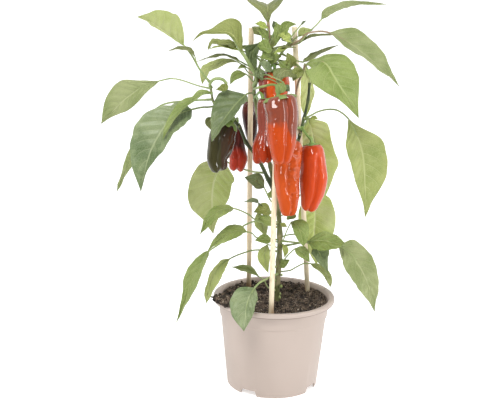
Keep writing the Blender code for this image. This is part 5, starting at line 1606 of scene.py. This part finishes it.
TOP_CAP, TIP_CAP = 0.12, 0.05  # shares of a fruit's rings that close its top and its tip
PIT = 0.045  # depth of the top's pit, as a share of the axis
NEAR = 0.02  # share of the axis that its direction is measured over
FRUIT = (
    Fruit("front", ("middle", 343), ((-25, -26, 348), (-14, -42, 353), (-8, -48, 355), (-3, -52, 354)),
          ((-1, -55, 343), (3, -58, 326), (3, -62, 308), (4, -66, 291), (4, -69, 274)),
          (14.0, 18.3, 17.9, 17.4, 16.9, 15.8, 14.2, 11.4, 2.6),
          (Furrow(-60, -62, 0.24, 11), Furrow(-104, -104, 0.07, 10, -0.1, 0.16), Furrow(-172, -165, 0.15, 16),
           Furrow(40, 30), Furrow(115, 120)),
          RIPENING,
          (Dent(0.35, -128, -0.9, 2.2, 9.0), Dent(0.17, -124, 2.4, 5.0, 7.5), Dent(0.42, -40, -0.7, 3.0, 4.0),
           Dent(0.5, -118, 0.9, 2.2, 2.6), Dent(0.68, -106, 0.8, 1.8, 1.8), Dent(0.58, -112, 0.6, 1.6, 1.8),
           Dent(0.8, -100, -0.5, 6.0, 7.0)),
          (0.25, -100.0, 50.0), 1.8, 0.9, 2.4),
    Fruit("long", ("right", 300), ((22, -12, 304),),
          ((13, -30, 294), (11, -34, 274), (10, -38, 253), (12, -40, 233), (13, -43, 212)),
          (6.5, 14.6, 15.2, 14.6, 14.3, 13.7, 12.7, 10.5, 1.1),
          (Furrow(-86, -86, 0.2, 12, 0.25, 0.75), Furrow(-86, -55, 0.22, 12, 0.65, 1.1),
           Furrow(170, 175, 0.12), Furrow(45, 45, 0.12)),
          LONG_RIPE,
          (Dent(0.3, -30, -0.8, 4.0, 5.0), Dent(0.52, -80, -0.9, 2.0, 6.0), Dent(0.62, -82, -0.7, 1.6, 5.0),
           Dent(0.72, -66, -0.9, 1.8, 6.0), Dent(0.84, -62, -0.8, 1.6, 5.0), Dent(0.6, -120, 0.5, 8.0, 3.0)),
          (2.5, -52.0, 38.0), 2.2, 0.6),
    Fruit("right", ("right", 303), ((28, -4, 300), (32, -8, 295)),
          ((37, -11, 285.5), (39, -12, 267), (40, -13, 249), (39, -14, 230), (35, -14, 211)),
          (8.6, 13.4, 14.5, 15.0, 15.8, 15.2, 13.7, 11.0, 1.7),
          (Furrow(-62, -80, 0.28, 12, 0.15, 1.1), Furrow(60, 55, 0.15), Furrow(170, 175, 0.13)),
          RIPE,
          (Dent(0.13, -84, 2.3, 3.6, 6.5), Dent(0.3, -72, 1.2, 6.0, 4.5), Dent(0.5, -25, 0.8, 9.0, 6.0)),
          (0.25, -60.0, 60.0), 1.6, 0.62, 1.0),
    Fruit("green", ("left", 319), ((-57, -28, 320),),
          ((-51, -36, 311), (-59, -36, 298), (-62, -37, 285), (-65, -38, 272), (-62, -39, 260)),
          (5.4, 12.1, 14.7, 15.0, 14.5, 13.3, 11.9, 10.4, 4.1),
          (Furrow(-114, -88, 0.24, 15), Furrow(10, 15, 0.2), Furrow(140, 140, 0.2),
           Furrow(-20, -40, 0.1, 10, 0.5)), UNRIPE, (), (0.2, -90.0, 80.0), 3.0, 0.8, 1.6),
    Fruit("shaded", ("left", 310), ((-46, 0, 311),),
          ((-46, 6, 303), (-45, 7, 291), (-45, 8, 278), (-44, 8, 265), (-46, 8, 252)),
          (3.4, 5.5, 6.5, 7.4, 8.3, 9.5, 10.9, 9.4, 2.4),
          (Furrow(-130, -80, 0.2, 14, 0.4), Furrow(0, 20, 0.2), Furrow(130, 150, 0.2)),
          SHADED, (), (0.2, -90.0, 80.0), 3.6),
    Fruit("maroon", ("middle", 322), ((-25, 27, 331),),
          ((-33, 38, 325), (-33, 38, 312), (-32, 39, 299), (-31, 38, 286), (-31, 38, 273)),
          (4.6, 8.5, 9.2, 9.0, 8.6, 7.8, 6.4, 4.3, 1.7),
          (Furrow(-115, -110, 0.14), Furrow(0, 5), Furrow(120, 120)), MAROON, (), (0.25, -90.0, 90.0)),
    Fruit("waisted", ("middle", 334), ((-22, -14, 342),),
          ((-18, -23, 336), (-17, -24, 319), (-17, -24, 302), (-18, -25, 285), (-16, -26, 268)),
          (3.8, 6.4, 6.6, 5.9, 5.1, 7.2, 10.1, 10.9, 3.4),
          (Furrow(-112, -112, 0.14, 13, -0.1, 0.7), Furrow(-128, -118, 0.24, 13, 0.75),
           Furrow(-45, -45, 0.14), Furrow(60, 60), Furrow(150, 150)), TURNING,
          (Dent(0.8, -95, 0.9, 2.4, 4.0), Dent(0.9, -135, 1.2, 3.0, 3.0)), (0.3, -90.0, 80.0), 3.2),
    Fruit("high", ("upper", 365), ((-8, -1, 371),),
          ((-6, -5, 364), (-6, -5, 353), (-6, -5, 342), (-5, -6, 332), (-5, -6, 321)),
          (7.7, 16.2, 17.4, 17.2, 16.3, 15.0, 13.7, 11.0, 4.4),
          (Furrow(-76, -76, 0.22, 14), Furrow(-150, -150, 0.16), Furrow(20, 20), Furrow(110, 110)), HIGH_RIPE,
          (Dent(0.15, -48, 0.8, 5.0, 5.0),)),
)


@dataclass
class Peppers:
    """The fruit, each with its stalk and the green cup on its shoulders."""

    segments: int = 96
    rings: int = 72
    cup_sides: int = 40
    cup_teeth: int = 5
    axis_steps: int = 60
    stalk_steps: int = 20
    swelling: float = 0.45  # how far the skin swells softly in and out
    stalk_radius: float = 1.25
    stalk_ridge: float = 0.08
    neck: tuple[Place, Place] = ((1.6, 2.0, 2.8), (0.42, 0.3, 0.2))  # radii, and heights by the cup's
    flare: tuple[float, ...] = (0.45, 0.62, 0.78, 0.9, 1.0)  # the cup's radii by that of its edge
    tooth: float = 0.2  # how far the cup's teeth reach, as a share of its radius
    stalk_skin: StalkFinish = StalkFinish("fruit_stalk", (0.15, 0.22, 0.05), (0.27, 0.34, 0.10), 0.4)

    def reach(self, fruit: Fruit, down: float, size: float, turn: float, seed: int) -> float:
        """Give how far the skin lies from the axis, with furrows, dents, wrinkles and soft swellings.

        Args:
            fruit: The fruit.
            down: The share of the way down its axis.
            size: Its plain radius there, in mm.
            turn: The turn round the axis.
            seed: Where in the noise its swellings are taken from.

        Returns:
            The distance in mm.
        """
        reach = size
        for furrow in fruit.furrows:
            line = math.radians(furrow.top + (furrow.tip - furrow.top) * clamped(down))
            off = abs(math.remainder(turn - line, math.tau)) / math.radians(furrow.width)
            ends = eased(down, furrow.start - 0.05, furrow.start + 0.1)
            ends *= 1.0 - eased(down, furrow.end - 0.1, furrow.end + 0.05)
            reach -= furrow.depth * size * ends * math.exp(-off ** 1.5)
        length = fruit.length()
        for dent in fruit.dents:
            along = (down - dent.share) * length / dent.along
            off = math.remainder(turn - math.radians(dent.turn), math.tau) * size / dent.round
            reach += dent.height * math.exp(-along * along - off * off)
        spot = Vector((math.cos(turn), math.sin(turn), down * 4.0))
        body = min(1.0, size / 6.0)
        reach += self.swelling * body * noise.noise(spot * 1.6 + Vector((seed, 0.0, 0.0)))
        height, middle, half = fruit.wrinkles
        off = math.remainder(turn - math.radians(middle), math.tau) / math.radians(half)
        cross = Vector((spot.x * 2.2, spot.y * 2.2, down * length * 0.22 + seed))
        return reach + height * math.exp(-off ** 2) * body * noise.noise(cross)

    def skin(self, fruit: Fruit, seed: int) -> Piece:
        """Shape a sphere into a lobed fruit.

        Args:
            fruit: The fruit.
            seed: Where in the noise its swellings are taken from.

        Returns:
            The fruit's body.
        """
        deselect_all()
        bpy.ops.mesh.primitive_uv_sphere_add(segments=self.segments, ring_count=self.rings, radius=1.0)
        body = started(f"pepper_{fruit.name}_skin")
        steps = self.axis_steps
        axis = stations_on([fruit.on_axis(i / steps) for i in range(steps + 1)], 0, Vector((0, 1, 0)))
        length = fruit.length()
        for vertex in body.data.vertices:
            polar = math.acos(max(-1.0, min(1.0, vertex.co.z))) / math.pi
            turn = math.atan2(vertex.co.y, vertex.co.x)
            down, size = fruit.outline(polar)
            station = axis[round(clamped(down) * steps)]
            reach = self.reach(fruit, down, size, turn, seed) if size > 0.01 else 0.0
            crest = min((abs(math.remainder(turn - math.radians(furrow.tip), math.tau))
                         for furrow in fruit.furrows if furrow.end > 1.0), default=1.0)
            lobe = eased(crest, 0.0, 0.75) * eased(down, 0.75, 0.97)
            lobe *= eased(size / fruit.radii[-2], -0.1, 0.7)
            spoke = station.side * math.cos(turn) + station.up * math.sin(turn)
            vertex.co = (fruit.on_axis(down + lobe * fruit.lobe_tips / length) + spoke * reach) * MM
        put_finish(body, fruit.finish.material())
        turn_outwards(body)
        pick(body)
        bpy.ops.object.shade_smooth()
        return body

    def shoulder(self, fruit: Fruit, reach: float) -> float:
        """Give how far below the axis's top the fruit's surface lies at a distance from the axis, in mm."""
        length = fruit.length()
        for i in range(80):
            down, size = fruit.outline(i / 200)
            if size >= reach:
                return down * length
        return 0.0

    def cup(self, fruit: Fruit, seed: int) -> Piece:
        """Make a fruit's stalk and its toothed cup."""
        top = Vector(fruit.axis[0])
        way = (fruit.on_axis(0.0) - fruit.on_axis(NEAR)).normalized()
        edge = max(fruit.girth(0.125) * fruit.cup_share, fruit.radii[0] * 0.9)
        rise = min(edge, 8.0)
        neck = top + way * (rise * 0.5 + 2.0)
        root = on_branch(*fruit.root)
        stalk = smooth_path([root, *fruit.stalk, neck], self.stalk_steps)
        radii, shares = self.neck
        flare = [*radii, *(part * edge for part in self.flare)]
        heights = [part * rise for part in shares]
        heights += [0.9 + 0.5 * (1 - i / 4) - self.shoulder(fruit, r) - fruit.cup_drop * (i / 4) ** 2
                    for i, r in enumerate(flare[3:])]
        path = stalk + [top + way * height for height in heights]
        stations = stations_on(path, len(path) - 1, Vector((0, 1, 0)))
        last = len(path) - 1
        up = (stations[-1].up - way * stations[-1].up.dot(way)).normalized()
        for i in range(len(stalk), last + 1):
            stations[i] = Station(path[i], (-way).cross(up), up)

        def radius(share: float, turn: float) -> float:
            """Give the radius: a ridged stalk that flares into the toothed cup."""
            index = round(share * last)
            wave = math.cos(self.cup_teeth * turn + seed)
            if index < len(stalk):
                thick = 1.0 + 0.6 * eased(index / len(stalk), 0.6, 1.0) + 0.4 * math.exp(-(index / 1.5) ** 2)
                return self.stalk_radius * thick * (1.0 + self.stalk_ridge * wave)
            place = (index - len(stalk)) / (len(flare) - 1)
            tooth = self.tooth * eased(place, 0.55, 1.0) * wave
            return flare[index - len(stalk)] * (1.0 + tooth + 0.05 * wave)

        cup = swept_bar(f"cup_{fruit.name}_grown", stations, self.cup_sides, radius)
        put_finish(cup, self.stalk_skin.material() if seed == 0 else bpy.data.materials[self.stalk_skin.name])
        return cup

    def build(self) -> None:
        """Build every fruit and hand it over."""
        for i, fruit in enumerate(FRUIT):
            settle(self.skin(fruit, i * 7), fruit.finish.slot, f"pepper_{fruit.name}")
            settle(self.cup(fruit, i), "fruit_stalk", f"cup_{fruit.name}")


# The studio


@dataclass
class Studio:
    """Camera, pale floor and soft light, as in the photograph."""

    camera_place: Place = (0.0, -1.10, 0.479)
    yaw: float = math.radians(-1.56)
    pitch: float = math.radians(-13.35)
    roll: float = math.radians(1.2)
    lens: float = 71.86
    sensor: float = 36.0
    floor_size: float = 60.0
    floor_colour: Colour = (0.93, 0.93, 0.93)
    floor_glow: float = 0.5  # keeps the paper pure white, as in the photograph
    sky_strength: float = 1.15
    dim_side: float = 0.2  # the sky's strength behind the camera
    dim_span: Pair = (-0.6, 0.1)  # how far back it is dim, and from where it is full
    aim: Place = (0.0, 0.0, 0.22)
    lamps: tuple[tuple[str, Place, Pair, float], ...] = (
        ("key", (-0.35, -0.95, 1.35), (0.55, 0.55), 15.0),
        ("left", (-1.15, -1.1, 0.55), (0.3, 0.3), 3.0),
        ("right", (1.3, -0.75, 0.6), (0.15, 0.95), 10.5),
    )

    def camera(self) -> None:
        """Set the camera at the photograph's viewing angle."""
        flat = math.cos(self.pitch)
        forward = Vector((math.sin(self.yaw) * flat, math.cos(self.yaw) * flat, math.sin(self.pitch)))
        level = Vector((math.cos(self.yaw), -math.sin(self.yaw), 0.0))
        over = level.cross(forward)
        right = level * math.cos(self.roll) + over * math.sin(self.roll)
        up = over * math.cos(self.roll) - level * math.sin(self.roll)
        data = bpy.data.cameras.new("camera")
        data.lens = self.lens
        data.sensor_width = self.sensor
        camera = bpy.data.objects.new("camera", data)
        bpy.context.scene.collection.objects.link(camera)
        turned = Matrix((right, up, -forward)).transposed().to_4x4()
        camera.matrix_world = Matrix.Translation(Vector(self.camera_place)) @ turned
        bpy.context.scene.camera = camera

    def lamp(self, name: str, spot: Place, size: Pair, power: float) -> None:
        """Hang one soft light.

        Args:
            name: Its name.
            spot: Where it hangs, in metres.
            size: How wide and how tall it is, in metres.
            power: Its power in watts.
        """
        data = bpy.data.lights.new(name, "AREA")
        data.energy = power
        data.shape = "RECTANGLE"
        data.size, data.size_y = size
        lamp = bpy.data.objects.new(name, data)
        bpy.context.scene.collection.objects.link(lamp)
        lamp.location = spot
        lamp.rotation_euler = (Vector(self.aim) - Vector(spot)).to_track_quat("-Z", "Y").to_euler()

    def sky(self, world: bpy.types.World) -> None:
        """Light the studio from all round, but dimly from behind the camera."""
        nodes, links = world.node_tree.nodes, world.node_tree.links
        way = nodes.new("ShaderNodeTexCoord").outputs["Generated"]
        parts = nodes.new("ShaderNodeSeparateXYZ")
        ramp = nodes.new("ShaderNodeMapRange")
        ramp.interpolation_type = "SMOOTHSTEP"
        span = (*self.dim_span, self.dim_side, self.sky_strength)
        for key, value in zip(("From Min", "From Max", "To Min", "To Max"), span):
            ramp.inputs[key].default_value = value
        background = nodes["Background"]
        background.inputs["Color"].default_value = (1.0, 1.0, 1.0, 1.0)
        links.new(way, parts.inputs[0])
        links.new(parts.outputs[1], ramp.inputs["Value"])
        seen = nodes.new("ShaderNodeLightPath").outputs["Is Camera Ray"]
        white = nodes.new("ShaderNodeMix")
        white.inputs["B"].default_value = self.sky_strength
        links.new(seen, white.inputs["Factor"])
        links.new(ramp.outputs[0], white.inputs["A"])
        links.new(white.outputs[0], background.inputs["Strength"])

    def build(self) -> None:
        """Set up the studio."""
        self.camera()
        scene = bpy.context.scene
        scene.view_settings.view_transform = "Standard"
        world = bpy.data.worlds.new("studio")
        world.use_nodes = True
        scene.world = world
        self.sky(world)
        for lamp in self.lamps:
            self.lamp(*lamp)
        deselect_all()
        bpy.ops.mesh.primitive_plane_add(size=self.floor_size)
        floor = started("studio_floor")
        shade = Shade("studio_paper", 0.9)
        shade.paint(self.floor_colour)
        shade.surface.inputs["Emission Color"].default_value = (1.0, 1.0, 1.0, 1.0)
        shade.surface.inputs["Emission Strength"].default_value = self.floor_glow
        put_finish(floor, shade.material)
        floor.visible_glossy = False


def main() -> None:
    """Build the studio and the whole plant."""
    logging.basicConfig(level=logging.INFO, format="%(message)s")
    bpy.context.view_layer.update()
    Studio().build()
    pot = Pot()
    pot.build()
    Soil(pot).build()
    Canes().build()
    Stem().build()
    Foliage().build()
    Peppers().build()


if __name__ == "__main__":
    main()
